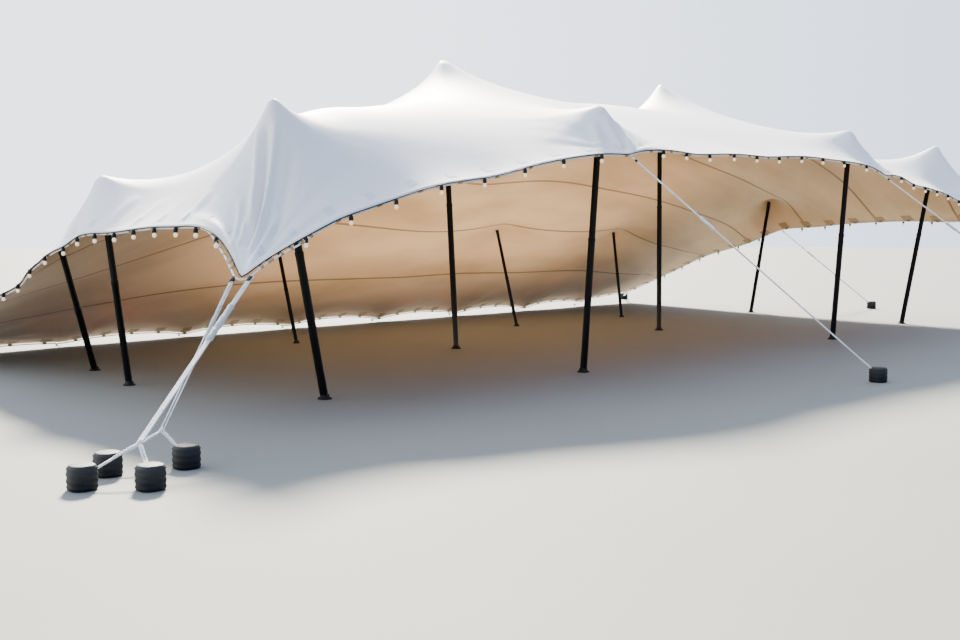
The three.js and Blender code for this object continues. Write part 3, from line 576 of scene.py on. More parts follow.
# %% Ropes from curves
def lay_rope(bm, route, radius, detail=2, closed=False):
    data = bpy.data.curves.new("route", "CURVE")
    data.dimensions = "3D"
    data.bevel_depth = 1.0
    data.bevel_resolution = detail
    data.use_fill_caps = not closed
    spline = data.splines.new("POLY")
    spline.points.add(len(route) - 1)
    spline.use_cyclic_u = closed
    radii = [radius] * len(route) if isinstance(radius, float) else radius
    for point, place, thick in zip(spline.points, route, radii):
        point.co = (*place, 1)
        point.radius = thick
    holder = bpy.data.objects.new("route", data)
    bpy.context.scene.collection.objects.link(holder)
    made = bpy.data.meshes.new_from_object(holder.evaluated_get(bpy.context.evaluated_depsgraph_get()))
    bpy.data.objects.remove(holder)
    stops = list(route) + ([route[0]] if closed else [])
    length = sum((Vector(b) - Vector(a)).length for a, b in zip(stops, stops[1:]))
    for loop in made.uv_layers[0].data:
        loop.uv = (loop.uv[0] * 2 * math.pi * max(radii), loop.uv[1] * length)
    bm.from_mesh(made)
    bpy.data.meshes.remove(made)
    return length


def turned(bm, profile, steps=16, matrix=Matrix()):
    """Spins a profile of (radius, height) pairs round Z and puts it in place."""
    verts = [bm.verts.new((r, 0, z)) for r, z in profile]
    edges = [bm.edges.new(pair) for pair in zip(verts, verts[1:])]
    before = set(bm.verts) - set(verts)
    bmesh.ops.spin(
        bm, geom=verts + edges, cent=(0, 0, 0), axis=(0, 0, 1), angle=2 * math.pi, steps=steps, use_merge=True
    )
    fresh = [v for v in bm.verts if v not in before]
    bmesh.ops.remove_doubles(bm, verts=fresh, dist=1e-6)
    fresh = [v for v in bm.verts if v not in before]
    faces = list({f for v in fresh for f in v.link_faces})
    bmesh.ops.recalc_face_normals(bm, faces=faces)
    bmesh.ops.transform(bm, matrix=matrix, verts=fresh)
    return fresh


def standing(place, along=(0, 0, 1)):
    """The matrix that puts a shape at a place with its own Z along a direction."""
    return Matrix.Translation(place) @ Vector(along).to_track_quat("Z", "Y").to_matrix().to_4x4()


test_bm = bmesh.new()
test_length = lay_rope(test_bm, [(0, 0, 0), (0, 0, 1), (0.2, 0, 2)], 0.01)
print("a rope of", round(test_length, 2), "m has", len(test_bm.faces), "faces")
test_bm.free()

# %% [markdown]
# The ropes are braided polyester, white, mostly 9 to 19 mm thick. Their strands cross at an angle, so
# the surface is a field of small slanted bumps, matt, and painted shade makes it a little darker in
# the hollows. The real strands are about 4 mm wide; they are drawn at 11 mm, so that they still show
# from some metres.
# The webbing that slings the edge rope under the cloth is woven polypropylene, tan. Its ribs are a
# millimetre or two apart and are drawn at 6 to 10 mm, for the same reason.

# %% Rope and webbing finishes
def braided(name, light, dark, strand):
    material, tree, shader = finish_named(name)
    uv = add(tree, "UVMap", uv_map="UVMap").outputs["UV"]
    fine = (1 / strand, 1 / strand, 1)
    leaning = []
    for turn in (0.9, -0.9):
        slanted = add(tree, "Mapping", {"Vector": uv, "Rotation": (0, 0, turn), "Scale": fine})
        leaning.append(add(tree, "TexWave", {"Vector": slanted.outputs[0], "Scale": 0.35, "Distortion": 0.4}))
    both = {0: leaning[0].outputs["Fac"], 1: leaning[1].outputs["Fac"]}
    crossed = add(tree, "Math", both, operation="MAXIMUM").outputs[0]
    # The tone follows the braid: painted shade darkens the hollows between the strands.
    tone = add(tree, "Mix", {SHARE: crossed, FROM: linear(dark), TO: linear(light)}, **BLEND)
    relief = add(tree, "Bump", {"Height": crossed, "Strength": 0.6, "Distance": 0.002})
    plug(shader, {"Base Color": tone.outputs[MIXED], "Normal": relief.outputs["Normal"]})
    plug(shader, {"Roughness": 0.8, "Sheen Weight": 0.2})
    return material


white_rope = braided("braided_white_polyester", "FFFFFD", "F1F0EA", 0.012)
grey_sleeve = braided("knitted_grey_rope_sleeve", "C9CCCB", "A9ADAD", 0.02)

webbing, tree, shader = finish_named("woven_tan_polypropylene_webbing")
place = add(tree, "TexCoord").outputs["Object"]
weave = {"Vector": place, "Scale": 60.0, "Distortion": 1.0}
ribs = add(tree, "TexWave", weave, bands_direction="DIAGONAL")
tone = add(tree, "Mix", {SHARE: ribs.outputs["Fac"], FROM: linear("8F7A5C"), TO: linear("B49F7E")}, **BLEND)
relief = add(tree, "Bump", {"Height": ribs.outputs["Fac"], "Strength": 0.4, "Distance": 0.001})
plug(shader, {"Base Color": tone.outputs[MIXED], "Normal": relief.outputs["Normal"], "Roughness": 0.7})
print("rope finishes:", [m.name for m in (white_rope, grey_sleeve, webbing)])

# %% [markdown]
# A rope runs all the way round, just under the edge of the cloth. It carries the pull of the guys,
# so the cloth itself never tears. Its route is a closed line on the flat cloth, just inside the
# edge and rounded at the corners, lifted by the cloth function and lowered by 21 mm. At both front
# corners the pull of two guys draws it clear of the hem, and it swings 44 mm past the rim. No cloth
# lies out there, so the cloth function is carried on straight in the way it leaves the rim.

# %% Past the rim
INSET, UNDER, EDGE_ROPE = 0.006, -0.021, 0.008
DRAWN_OUT, DRAWN_FROM, DRAWN_FULL = 0.05, 1.0, 0.62


def beyond(s, t, off=0.0, step=0.004):
    """The cloth, carried on straight past its rim."""
    s, t = np.asarray(s, float), np.asarray(t, float)
    rim_s, rim_t = np.clip(s, LEFT, RIGHT), np.clip(t, 0, DEPTH)
    over_s, over_t = s - rim_s, t - rim_t
    place = cloth(rim_s, rim_t, off)
    ways = ((over_s, np.sign(over_s) * step, 0.0), (over_t, 0.0, np.sign(over_t) * step))
    for over, near_s, near_t in ways:
        outward = cloth(rim_s, rim_t) - cloth(rim_s - near_s, rim_t - near_t)
        outward /= np.maximum(np.linalg.norm(outward, axis=-1, keepdims=True), 1e-9)
        place = place + outward * np.abs(over)[..., None]
    return place


def drawn_out(s, t):
    """How far the rope swings out from its usual line near the two front corners."""
    from_corner = np.hypot(RIGHT - np.abs(s), t)
    share = np.clip((DRAWN_FROM - from_corner) / (DRAWN_FROM - DRAWN_FULL), 0, 1)
    return DRAWN_OUT * share * share * (3 - 2 * share)


print("rope swings out at the front left tip by", round(drawn_out(LEFT, 0) - INSET, 3), "m")

# %% The edge rope
CORNER_TURN, CORNER_STEPS, ROPE_STEP = 0.07, 6, 0.1


def rim_route(inset, turn, step):
    """Places on a line round the flat cloth, rounded at the corners, with the way out at each."""
    low_s, high_s, low_t, high_t = LEFT + inset, RIGHT - inset, inset, DEPTH - inset
    corners = [
        (low_s, low_t, math.pi),
        (high_s, low_t, 1.5 * math.pi),
        (high_s, high_t, 0.0),
        (low_s, high_t, 0.5 * math.pi),
    ]
    stops = []
    for s, t, start in corners:
        middle_s = s + (turn if s < 0 else -turn)
        middle_t = t + (turn if t < DEPTH / 2 else -turn)
        for k in range(CORNER_STEPS + 1):
            angle = start + k * math.pi / (2 * CORNER_STEPS)
            out_s, out_t = math.cos(angle), math.sin(angle)
            stops.append((middle_s + turn * out_s, middle_t + turn * out_t, out_s, out_t))
    places = []
    for a, b in zip(stops, stops[1:] + stops[:1]):
        parts = max(1, round(math.hypot(b[0] - a[0], b[1] - a[1]) / step))
        places += [[u + (v - u) * k / parts for u, v in zip(a, b)] for k in range(parts)]
    return np.array(places)


rope_st = rim_route(INSET, CORNER_TURN, ROPE_STEP)
swing = drawn_out(rope_st[:, 0], rope_st[:, 1])
rope_xyz = beyond(rope_st[:, 0] + rope_st[:, 2] * swing, rope_st[:, 1] + rope_st[:, 3] * swing, UNDER)
rope_bm = bmesh.new()
rope_length = lay_rope(rope_bm, rope_xyz.tolist(), EDGE_ROPE, closed=True)
piece_from(rope_bm, "edge_rope_braid", [white_rope], ["edge_rope"])
print("edge rope:", round(rope_length, 1), "m")

# %% [markdown]
# Short slings of webbing, stitched to the underside every 0.42 m, hold that rope, and at the two
# front corners they stand closer, like the rungs of a ladder. Each sling starts as one strip from the
# grid operator. Its length follows a path across the rim: flat under the cloth, down round the rope,
# and back up to the hem. On the top side each shows as a faint small square of backing cloth, and
# along the sides and the back a brown square of stronger cloth spreads its pull underneath.

# %% Strips across the rim
backing = knitted("thin_white_backing_cloth", "E2E4E8", "D6DADF", 0.7, 60.0)
brown_patch = knitted("brown_reinforcing_cloth", "B08A60", "9A764F", 0.8, 60.0)


def inward(s, t):
    """The direction in from the nearest edge of the flat cloth, and the way along that edge."""
    gaps = [(s - LEFT, (1, 0)), (RIGHT - s, (-1, 0)), (t, (0, 1)), (DEPTH - t, (0, -1))]
    inside = min(gaps)[1]
    return inside, (-inside[1], inside[0])


def rim_places(gap, clear):
    """Places on the edge at even steps, none nearer to a corner than clear."""
    places = []
    for side_s, side_t, run_s, run_t, run in (
        (LEFT, 0, 1, 0, LENGTH), (LEFT, 0, 0, 1, DEPTH), (RIGHT, 0, 0, 1, DEPTH), (LEFT, DEPTH, 1, 0, LENGTH)
    ):
        count = round((run - 2 * clear) / gap)
        for k in range(count + 1):
            far = clear + (run - 2 * clear) * k / count
            places.append((side_s + run_s * far, side_t + run_t * far))
    return places


def strip_on_cloth(bm, at, width, path, columns=2):
    """A strip across the rim; its path is (distance in, height off the cloth) pairs."""
    inside, along = inward(*at)
    verts = bmesh.ops.create_grid(bm, x_segments=len(path) - 1, y_segments=columns, size=1)["verts"]
    far, off = np.array([path[round((v.co.x + 1) / 2 * (len(path) - 1))] for v in verts]).T
    aside = np.array([v.co.y for v in verts]) * width / 2
    strip_s = at[0] + inside[0] * far + along[0] * aside
    strip_t = at[1] + inside[1] * far + along[1] * aside
    for vertex, place in zip(verts, beyond(strip_s, strip_t, off)):
        vertex.co = place


print("backing finishes:", [m.name for m in (backing, brown_patch)])

# %% Slings and their backing patches
SLING_GAP, SLING_CLEAR, SLING_WIDTH, HUG = 0.42, 0.3, 0.05, 0.0105
FIRST_RUNG, RUNG_GAP, RUNGS, RUNG_WIDTH = 0.2, 0.13, 6, 0.034
SEWN_FROM, SEWN_FROM_AT_TIP, SEWN_TO = 0.12, 0.055, 0.028
ROUND_ROPE = np.linspace(0.35 * math.pi, -1.25 * math.pi, 9)
PATCH_WIDTH, PATCH_PATH = 0.09, [(far, 0.0038) for far in (0.185, 0.14, 0.095)]
BROWN_WIDTH, BROWN_PATH = 0.15, [(far, -0.0042) for far in (0.155, 0.12, 0.085, 0.05, 0.02)]
STRIP_THICK = 0.001


def sling_path(at):
    """Under the cloth, round the rope where it lies there, and back to the hem."""
    rope_in = INSET - float(drawn_out(*at))
    reach = SEWN_FROM_AT_TIP if drawn_out(*at) > 0 else SEWN_FROM
    path = [(far, -0.005) for far in np.linspace(reach, SEWN_TO, 5)]
    path += [(rope_in + HUG * math.cos(a), UNDER + HUG * math.sin(a)) for a in ROUND_ROPE]
    return path + [(0.014, -0.0048), (0.004, -0.0045)]


sling_bm, patch_bm, brown_bm = bmesh.new(), bmesh.new(), bmesh.new()
sling_places = rim_places(SLING_GAP, SLING_CLEAR)
rungs = []
rung_runs = [FIRST_RUNG + RUNG_GAP * k for k in range(RUNGS)]
for corner, way in ((LEFT, 1), (RIGHT, -1)):
    rungs += [(corner, far) for far in rung_runs] + [(corner + way * far, 0) for far in rung_runs]
for at in sling_places:
    strip_on_cloth(sling_bm, at, SLING_WIDTH, sling_path(at))
    strip_on_cloth(patch_bm, at, PATCH_WIDTH, PATCH_PATH, columns=4)
    if at[1] > 0 and drawn_out(*at) == 0:
        strip_on_cloth(brown_bm, at, BROWN_WIDTH, BROWN_PATH, columns=8)
for at in rungs:
    strip_on_cloth(sling_bm, at, RUNG_WIDTH, sling_path(at))
for bm in (sling_bm, patch_bm, brown_bm):
    bmesh.ops.recalc_face_normals(bm, faces=bm.faces)
    bmesh.ops.solidify(bm, geom=bm.faces, thickness=-STRIP_THICK)
slings = piece_from(sling_bm, "edge_rope_slings", [webbing])
patches = piece_from(patch_bm, "sling_backing_patches", [backing], smooth=False)
brown_patches = piece_from(brown_bm, "sling_reinforcing_patches", [brown_patch], smooth=False)
print("slings:", len(sling_places) + len(rungs))
print("faces:", [len(p.data.polygons) for p in (slings, patches, brown_patches)])

# %% [markdown]
# The festoon is a black rubber cable that is clipped along the rim of the left side, the front and
# the right side. Every half metre, and closer along the left side, it carries a black lampholder
# with a small round lamp of frosted glass, which hangs plumb, whatever way the rim runs. No lamp
# hangs where a guy is tied. The cable is a rope route just outside the rim.

# %% Rubber, lampholder and glass
black_rubber, tree, shader = finish_named("moulded_black_rubber")
place = add(tree, "TexCoord").outputs["Object"]
dust = add(tree, "TexNoise", {"Vector": place, "Scale": 14.0, "Detail": 6.0})
tone = add(tree, "Mix", {SHARE: dust.outputs["Fac"], FROM: linear("080808"), TO: linear("1B1B1C")}, **BLEND)
relief = add(tree, "Bump", {"Height": dust.outputs["Fac"], "Strength": 0.15, "Distance": 0.001})
plug(shader, {"Base Color": tone.outputs[MIXED], "Normal": relief.outputs["Normal"]})
plug(shader, {"Roughness": 0.55, "Specular IOR Level": 0.25})

frosted_glass, tree, shader = finish_named("frosted_blown_glass")
place = add(tree, "TexCoord").outputs["Object"]
etched = add(tree, "TexNoise", {"Vector": place, "Scale": 90.0, "Detail": 2.0})
tone = add(tree, "Mix", {SHARE: etched.outputs["Fac"], FROM: linear("F3E6CC"), TO: linear("FCF4E4")}, **BLEND)
plug(shader, {"Base Color": tone.outputs[MIXED], "Emission Color": linear("FFF3DC")})
plug(shader, {"Transmission Weight": 0.45, "Roughness": 0.18, "IOR": 1.5, "Emission Strength": 0.35})

warm_stem, tree, shader = finish_named("frosted_warm_filament_stem")
plug(shader, {"Base Color": linear("F6E6C8"), "Roughness": 0.5})
plug(shader, {"Emission Color": linear("FFDDA8"), "Emission Strength": 1.2})
print("lighting finishes:", [m.name for m in (black_rubber, frosted_glass, warm_stem)])

# %% The cable
CABLE, CABLE_STEP, FESTOON_BACK = 0.005, 0.05, 7.7
CLIPPED = CABLE + 0.0006 + SHEET / 2

side_steps = np.arange(CABLE_STEP, FESTOON_BACK, CABLE_STEP)
front_steps = np.arange(LEFT + 0.05, RIGHT - 0.04, CABLE_STEP)
corner_out = CLIPPED * math.sqrt(0.5)
cable_st = [(LEFT - CLIPPED, t) for t in side_steps[::-1]] + [(LEFT - corner_out, -corner_out)]
cable_st += [(s, -CLIPPED) for s in front_steps] + [(RIGHT + corner_out, -corner_out)]
cable_st += [(RIGHT + CLIPPED, t) for t in side_steps]
cable_s, cable_t = np.array(cable_st).T
cable_xyz = beyond(cable_s, cable_t)
cable_bm = bmesh.new()
cable_length = lay_rope(cable_bm, cable_xyz.tolist(), CABLE, detail=1)
piece_from(cable_bm, "festoon_cable", [black_rubber], ["festoon_lights"])
print("cable:", round(cable_length, 1), "m")

# %% Where the lamps hang
GUY_TIES = {
    "guy_front_left_outer": (-7.4, 0.0),
    "guy_front_left_inner": (-7.5, 0.1),
    "guy_front_right_outer": (7.4, 0.0),
    "guy_front_right_inner": (7.5, 0.1),
    "guy_front_centre": (-2.95, 0.0),
    "guy_front_right_centre": (2.75, 0.0),
    "guy_side_right": (7.5, 4.05),
    "guy_back_left": (-7.5, 8.4),
    "guy_back_right": (7.5, 8.4),
}
LAMP_GAP, LEFT_LAMP_GAP, HUNG_OUT = 0.5, 0.33, 0.012
LAMP_CLEAR_OF_GUY, LAMP_CLEAR_OF_TIP = 0.15, 0.42

cable_run = np.concatenate([[0], np.cumsum(np.linalg.norm(np.diff(cable_xyz, axis=0), axis=1))])
left_run = cable_run[len(side_steps)]
left_runs = np.arange(left_run - LEFT_LAMP_GAP, 0, -LEFT_LAMP_GAP)
other_runs = np.arange(left_run + LAMP_GAP / 2, cable_run[-1], LAMP_GAP)
lamp_runs = np.concatenate([left_runs, other_runs])
hang_s, hang_t = [np.interp(lamp_runs, cable_run, line) for line in (cable_s, cable_t)]
hang_s = np.where(np.abs(hang_s) > RIGHT, hang_s + np.sign(hang_s) * HUNG_OUT, hang_s)
hang_t = np.where(hang_t < 0, hang_t - HUNG_OUT, hang_t)
guy_tops = [cloth(s, t) for s, t in GUY_TIES.values()]
left_tip = cloth(LEFT, 0)
lamps_at = []
for at in beyond(hang_s, hang_t):
    clear_of_guys = min(np.linalg.norm(at - tied) for tied in guy_tops) > LAMP_CLEAR_OF_GUY
    if clear_of_guys and np.linalg.norm(at - left_tip) > LAMP_CLEAR_OF_TIP:
        lamps_at.append(at.tolist())
print("lamps:", len(lamps_at))

# %% [markdown]
# At each lamp's place the lampholder, the glass and the stem are spun from their profiles. The glass
# is a thin shell with an inner face, because a solid lump of glass would turn the picture behind it
# upside down. A blown lamp only bends it a little near its edge.

# %% Lampholders and lamps
HOLDER = [
    (0.0, 0.007), (0.01, 0.007), (0.0125, 0.0), (0.0135, -0.005), (0.018, -0.01), (0.019, -0.036),
    (0.0175, -0.042), (0.0, -0.042),
]
GLASS = [
    (0.011, -0.039), (0.0122, -0.044), (0.0152, -0.05), (0.0178, -0.0565), (0.0184, -0.062),
    (0.0173, -0.069), (0.0136, -0.0758), (0.0074, -0.0808), (0.0, -0.082),
]
STEM = [
    (0.0, -0.042), (0.0065, -0.043), (0.0045, -0.05), (0.007, -0.054), (0.008, -0.066),
    (0.0045, -0.071), (0.0, -0.072),
]
GLASS_THICK = 0.0009
holder_bm, glass_bm, stem_bm = bmesh.new(), bmesh.new(), bmesh.new()
for at in lamps_at:
    spot = Matrix.Translation(at)
    turned(holder_bm, HOLDER, 12, spot)
    turned(glass_bm, GLASS, 14, spot)
    turned(stem_bm, STEM, 8, spot)
bmesh.ops.solidify(glass_bm, geom=glass_bm.faces, thickness=GLASS_THICK)
holders = piece_from(holder_bm, "festoon_lampholders", [black_rubber])
glasses = piece_from(glass_bm, "festoon_lamps", [frosted_glass])
stems = piece_from(stem_bm, "festoon_lamp_stems", [warm_stem])
print("lamp faces:", len(holders.data.polygons), len(glasses.data.polygons), len(stems.data.polygons))

# %% [markdown]
# The poles are steel tubes, powder-coated black: satin, with the slight orange peel of baked powder
# and faint scuffs where they are handled. Each stands in a flared rubber foot that lies flat on the
# floor, leans out with its load, and ends in a rubber dome. The dome must meet the cloth and not
# pass it. So rays go up from it to the cloth, and the shortest sets its height.

# %% Powder-coated steel
powder_steel, tree, shader = finish_named("black_powder_coated_steel")
place = add(tree, "TexCoord").outputs["Object"]
peel = add(tree, "TexNoise", {"Vector": place, "Scale": 260.0, "Detail": 2.0})
rubbed = add(tree, "TexNoise", {"Vector": place, "Scale": 7.0, "Detail": 8.0, "Roughness": 0.7})
scuffed = add(tree, "MapRange", {"Value": rubbed.outputs["Fac"], "From Min": 0.6, "From Max": 0.75})
tone = add(
    tree, "Mix", {SHARE: scuffed.outputs["Result"], FROM: linear("030303"), TO: linear("0B0B0C")}, **BLEND
)
gloss = add(tree, "MapRange", {"Value": rubbed.outputs["Fac"], "To Min": 0.32, "To Max": 0.5})
relief = add(tree, "Bump", {"Height": peel.outputs["Fac"], "Strength": 0.12, "Distance": 0.0006})
plug(shader, {"Base Color": tone.outputs[MIXED], "Roughness": gloss.outputs["Result"]})
plug(shader, {"Normal": relief.outputs["Normal"], "Specular IOR Level": 0.14})
print(powder_steel.name, "nodes:", len(tree.nodes))

# %% Where each dome meets the cloth
from mathutils.bvhtree import BVHTree

DOME_HIGH, DOME_GAP, RAY_START, RAYS = 0.75, 0.0006, 0.5, 24
cloth_tree = BVHTree.FromPolygons([v.co for v in solid.vertices], [tuple(f.vertices) for f in solid.polygons])


def dome_profile(radius):
    """The dome's (radius, height) pairs, from its rim to its top."""
    dome = [(radius * math.cos(a), radius * DOME_HIGH * math.sin(a)) for a in np.linspace(0, math.pi / 2, 6)]
    dome[-1] = (0.0, radius * DOME_HIGH)
    return dome


def room_above(top, lean, dome):
    """How far the dome can rise along the pole before it meets the cloth."""
    gaps = []
    for ring, height in dome:
        for turn in np.linspace(0, 2 * math.pi, RAYS, endpoint=False):
            local = Vector((ring * math.cos(turn), ring * math.sin(turn), height - RAY_START))
            gap = cloth_tree.ray_cast(standing(top, lean) @ local, lean)[3]
            gaps.append(1.0 if gap is None else gap - RAY_START)
    return min(gaps)


print("cloth faces that the rays can meet:", len(solid.polygons))

# %% The poles
POLE_STEPS = 32
for name, pole in POLES.items():
    foot = Vector((*pole[0], 0)) + Vector(ORIGIN)
    top = Vector(pole[1]) + Vector(ORIGIN)
    radius = pole[3]
    lean = (top - foot).normalized()
    dome = dome_profile(radius)
    room = room_above(top, lean, dome)
    rise = (top - foot).length + room - DOME_GAP
    joint, neck, thin, flare = rise * 0.52, radius * 1.06, radius * 0.93, radius * 1.74
    shaft = [(0.0, 0.024), (radius * 0.9, 0.024), (radius * 0.9, 0.05), (radius, 0.05)]
    shaft += [(radius, joint - 0.045), (neck, joint - 0.042), (neck, joint - 0.004)]
    shaft += [(radius * 0.97, joint), (thin, joint + 0.001)]
    shaft += [(thin, rise - 0.06), (thin, rise - 0.055), (0.0, rise - 0.055)]
    cap = [(0.0, rise - 0.075), (radius * 0.97, rise - 0.075), (radius, rise - 0.07), (radius, rise)]
    cap += [(ring, rise + height) for ring, height in dome[1:]]
    shoe = [(0.0, 0.0), (flare * 0.97, 0.0), (flare, 0.003), (flare, 0.009), (flare * 0.96, 0.0125)]
    shoe += [(radius * 1.3, 0.02), (radius * 1.16, 0.03), (radius * 1.14, 0.044)]
    shoe += [(radius * 0.5, 0.0445), (0.0, 0.0445)]
    pole_bm, rubber_bm = bmesh.new(), bmesh.new()
    turned(pole_bm, shaft, POLE_STEPS, standing(foot, lean))
    turned(rubber_bm, cap, POLE_STEPS, standing(foot, lean))
    turned(rubber_bm, shoe, POLE_STEPS, Matrix.Translation(foot))
    tube = piece_from(pole_bm, name + "_tube", [powder_steel], [name])
    tube.data.set_sharp_from_angle(angle=math.radians(35))
    piece_from(rubber_bm, name + "_rubber", [black_rubber])
    print(name, "length", round((top - foot).length, 2), "dome moved", round(room * 1000), "mm")

# %% [markdown]
# At each front corner two guys run down to the floor. A guy there is one long rope that goes up and
# back, so it shows as strands side by side: a broad band of three on the outer guy, two thin ones on
# the inner. Near the cloth the strands pass through a small black block and are laced together, and
# the spare rope is stowed in a grey knitted sleeve. At the bottom the strands meet in a knot, and a
# shorter rope goes from it to each of two anchors. The other guys are single above a hitch, and
# below it the rope runs to the anchor and back, which makes that length thicker.

# %% Strands and windings
UP = Vector((0, 0, 1))


def strands(bm, start, end, apart, radius, aside, count=2):
    """Straight ropes side by side."""
    for k in range(count):
        off = aside * ((k - (count - 1) / 2) * apart)
        lay_rope(bm, [start + off, end + off], radius)


def wound(start, end, aside, reach, turns, per_turn=10, flatness=0.55):
    """A flattened screw line round the stretch from start to end."""
    other = (end - start).normalized().cross(aside)
    count = max(2, round(turns * per_turn))
    places = []
    for k in range(count + 1):
        turn = 2 * math.pi * turns * k / count
        swing = aside * (reach * math.cos(turn)) + other * (reach * flatness * math.sin(turn))
        places.append(start.lerp(end, k / count) + swing)
    return places


def small_ring(middle, one_way, other_way, reach):
    """Twelve places round a ring."""
    turns = np.linspace(0, 2 * math.pi, 13)[:-1]
    return [middle + (one_way * math.cos(a) + other_way * math.sin(a)) * reach for a in turns]


def on_rope(s, t):
    """The edge rope's own point nearest to a place on the flat cloth."""
    tied = Vector(cloth(s, t, UNDER))
    return min((Vector(p) for p in rope_xyz), key=lambda p: (p - tied).length)


def rounded(bm, edges, offset, segments):
    bmesh.ops.bevel(
        bm, geom=edges, affect="EDGES", offset=offset, segments=segments, profile=0.5, material=-1
    )


print("the front left outer guy is tied at", [round(v, 3) for v in on_rope(-7.4, 0.0)])

# %% Where the guys run
# Each guy: its anchors on the floor, the share of its length that the sleeve covers, and its strands
SLEEVED = (0.2, 0.44)
GUYS = {
    "guy_front_left_outer": ([(-8.96, -1.6), (-8.67, -1.87)], SLEEVED, 3),
    "guy_front_left_inner": ([(-8.69, -1.35), (-8.23, -1.48)], SLEEVED, 2),
    "guy_front_right_outer": ([(9.3, -1.85), (9.01, -2.12)], SLEEVED, 3),
    "guy_front_right_inner": ([(9.03, -1.6), (8.57, -1.73)], SLEEVED, 2),
    "guy_front_centre": ([(-1.17, -2.6)], None, 1),
    "guy_front_right_centre": ([(5.4, -2.6)], None, 1),
    "guy_side_right": ([(9.3, 2.7)], None, 1),
    "guy_back_left": ([(-8.4, 6.85)], None, 1),
    "guy_back_right": ([(8.25, 8.25)], None, 1),
}
HOLD_HEIGHT, KNOT_AT, HITCH_AT, BLOCK_AT = 0.075, 0.86, 0.31, 0.025
STRAND = {1: 0.0094, 2: 0.0044, 3: 0.0066}
APART = {1: 0.0, 2: 0.02, 3: 0.0125}
SLEEVE_FULL = {2: 0.0145, 3: 0.0225}
BLOCK = {True: (0.034, 0.024, 0.065, 1), False: (0.024, 0.02, 0.036, 1)}
print("guys:", len(GUYS), "anchors:", sum(len(stakes) for stakes, sleeve, count in GUYS.values()))

# %% Windings and the sleeve
# Each winding: its reach from the middle line, its turns, its rope's radius and the rope's detail
LACING = (0.015, 7, 0.0035, 1)
HITCH = (0.019, 5.5, 0.0085, 2)
WHIPPING = (0.012, 4, 0.0042, 1)
KNOT = (0.013, 2.5, 0.006, 2)
LEG_LACING = (0.0125, 6, 0.0035, 1)
LACED_FROM, WHIPPED, LEG_LACED, HITCH_HALF, KNOT_HALF = 0.03, (0.93, 0.96), (0.1, 0.45), 0.09, 0.014
SLEEVE_PARTS, SLEEVE_LUMPS = 28, 0.15
SLEEVE_ENDS = {0: 0.6, 1: 0.8, -2: 0.8, -1: 0.6}


def wind(bm, start, end, aside, winding):
    reach, turns, radius, detail = winding
    lay_rope(bm, wound(start, end, aside, reach, turns), radius, detail=detail)


def stow(bm, low, high, full):
    """A sleeve stuffed with spare rope, lumpy and narrower at its ends."""
    steps = range(SLEEVE_PARTS + 1)
    bulge = [full * (1 + SLEEVE_LUMPS * math.sin(0.9 * k) * math.sin(0.37 * k + 1)) for k in steps]
    for k, share in SLEEVE_ENDS.items():
        bulge[k] = full * share
    lay_rope(bm, [low.lerp(high, k / SLEEVE_PARTS) for k in steps], bulge, detail=4)


print("a hitch takes", HITCH[1], "turns over", 2 * HITCH_HALF, "m")

# %% Guys
RING, RING_ROPE, RING_END = 0.02, 0.004, 0.035
BELOW_HITCH_APART, LEG_APART, LEG_STRAND = 0.0155, 0.0135, 0.0062
anchors = {}
for name, (stakes, sleeve, count) in GUYS.items():
    top = on_rope(*GUY_TIES[name])
    holds = [Vector((x, y, HOLD_HEIGHT)) + Vector(ORIGIN) for x, y in stakes]
    middle = sum(holds, Vector()) / len(holds)
    branched = len(stakes) == 2
    knot = top.lerp(middle, KNOT_AT) if branched else middle
    ahead = (knot - top).normalized()
    aside = ahead.cross(UP).normalized()
    start = top + ahead * RING_END
    rope_bm, spare_bm, block_bm = bmesh.new(), bmesh.new(), bmesh.new()
    lay_rope(rope_bm, small_ring(top + ahead * RING, aside, ahead, RING), RING_ROPE, closed=True)
    if branched:
        low, high = [top.lerp(knot, share) for share in sleeve]
        strands(rope_bm, start, knot, APART[count], STRAND[count], aside, count)
        for side in (aside, -aside):
            wind(rope_bm, top.lerp(knot, LACED_FROM), low, side, LACING)
        stow(spare_bm, low, high, SLEEVE_FULL[count])
    else:
        hitch = top.lerp(knot, HITCH_AT)
        lay_rope(rope_bm, [start, hitch], STRAND[count])
        strands(rope_bm, hitch, knot, BELOW_HITCH_APART, STRAND[3], aside, 3)
        for side in (aside, -aside):
            wind(spare_bm, hitch - ahead * HITCH_HALF, hitch + ahead * HITCH_HALF, side, HITCH)
        wind(rope_bm, *[top.lerp(knot, share) for share in WHIPPED], aside, WHIPPING)
    block_spot = standing(top.lerp(knot, BLOCK_AT), ahead) @ Matrix.Diagonal(BLOCK[branched])
    bmesh.ops.create_cube(block_bm, size=1, matrix=block_spot)
    rounded(block_bm, block_bm.edges, 0.007, 3)
    if branched:
        for round_way in (aside, ahead.cross(aside)):
            wind(rope_bm, knot - ahead * KNOT_HALF, knot + ahead * KNOT_HALF, round_way, KNOT)
        for hold in holds:
            across_way = (hold - knot).normalized().cross(UP).normalized()
            strands(rope_bm, knot, hold, LEG_APART, LEG_STRAND, across_way)
            wind(rope_bm, *[knot.lerp(hold, share) for share in LEG_LACED], across_way, LEG_LACING)
    piece_from(rope_bm, name + "_rope", [white_rope], [name])
    if branched:
        piece_from(spare_bm, name + "_sleeve", [grey_sleeve])
    else:
        piece_from(spare_bm, name + "_hitch", [white_rope])
    piece_from(block_bm, name + "_block", [black_rubber])
    for number, hold in enumerate(holds, start=1):
        node = name.replace("guy", "stake") + (f"_{number}" if branched else "")
        anchors[node] = Vector((hold.x, hold.y, 0))
    print(name, "length", round((knot - top).length, 2), "m, anchors:", len(holds))
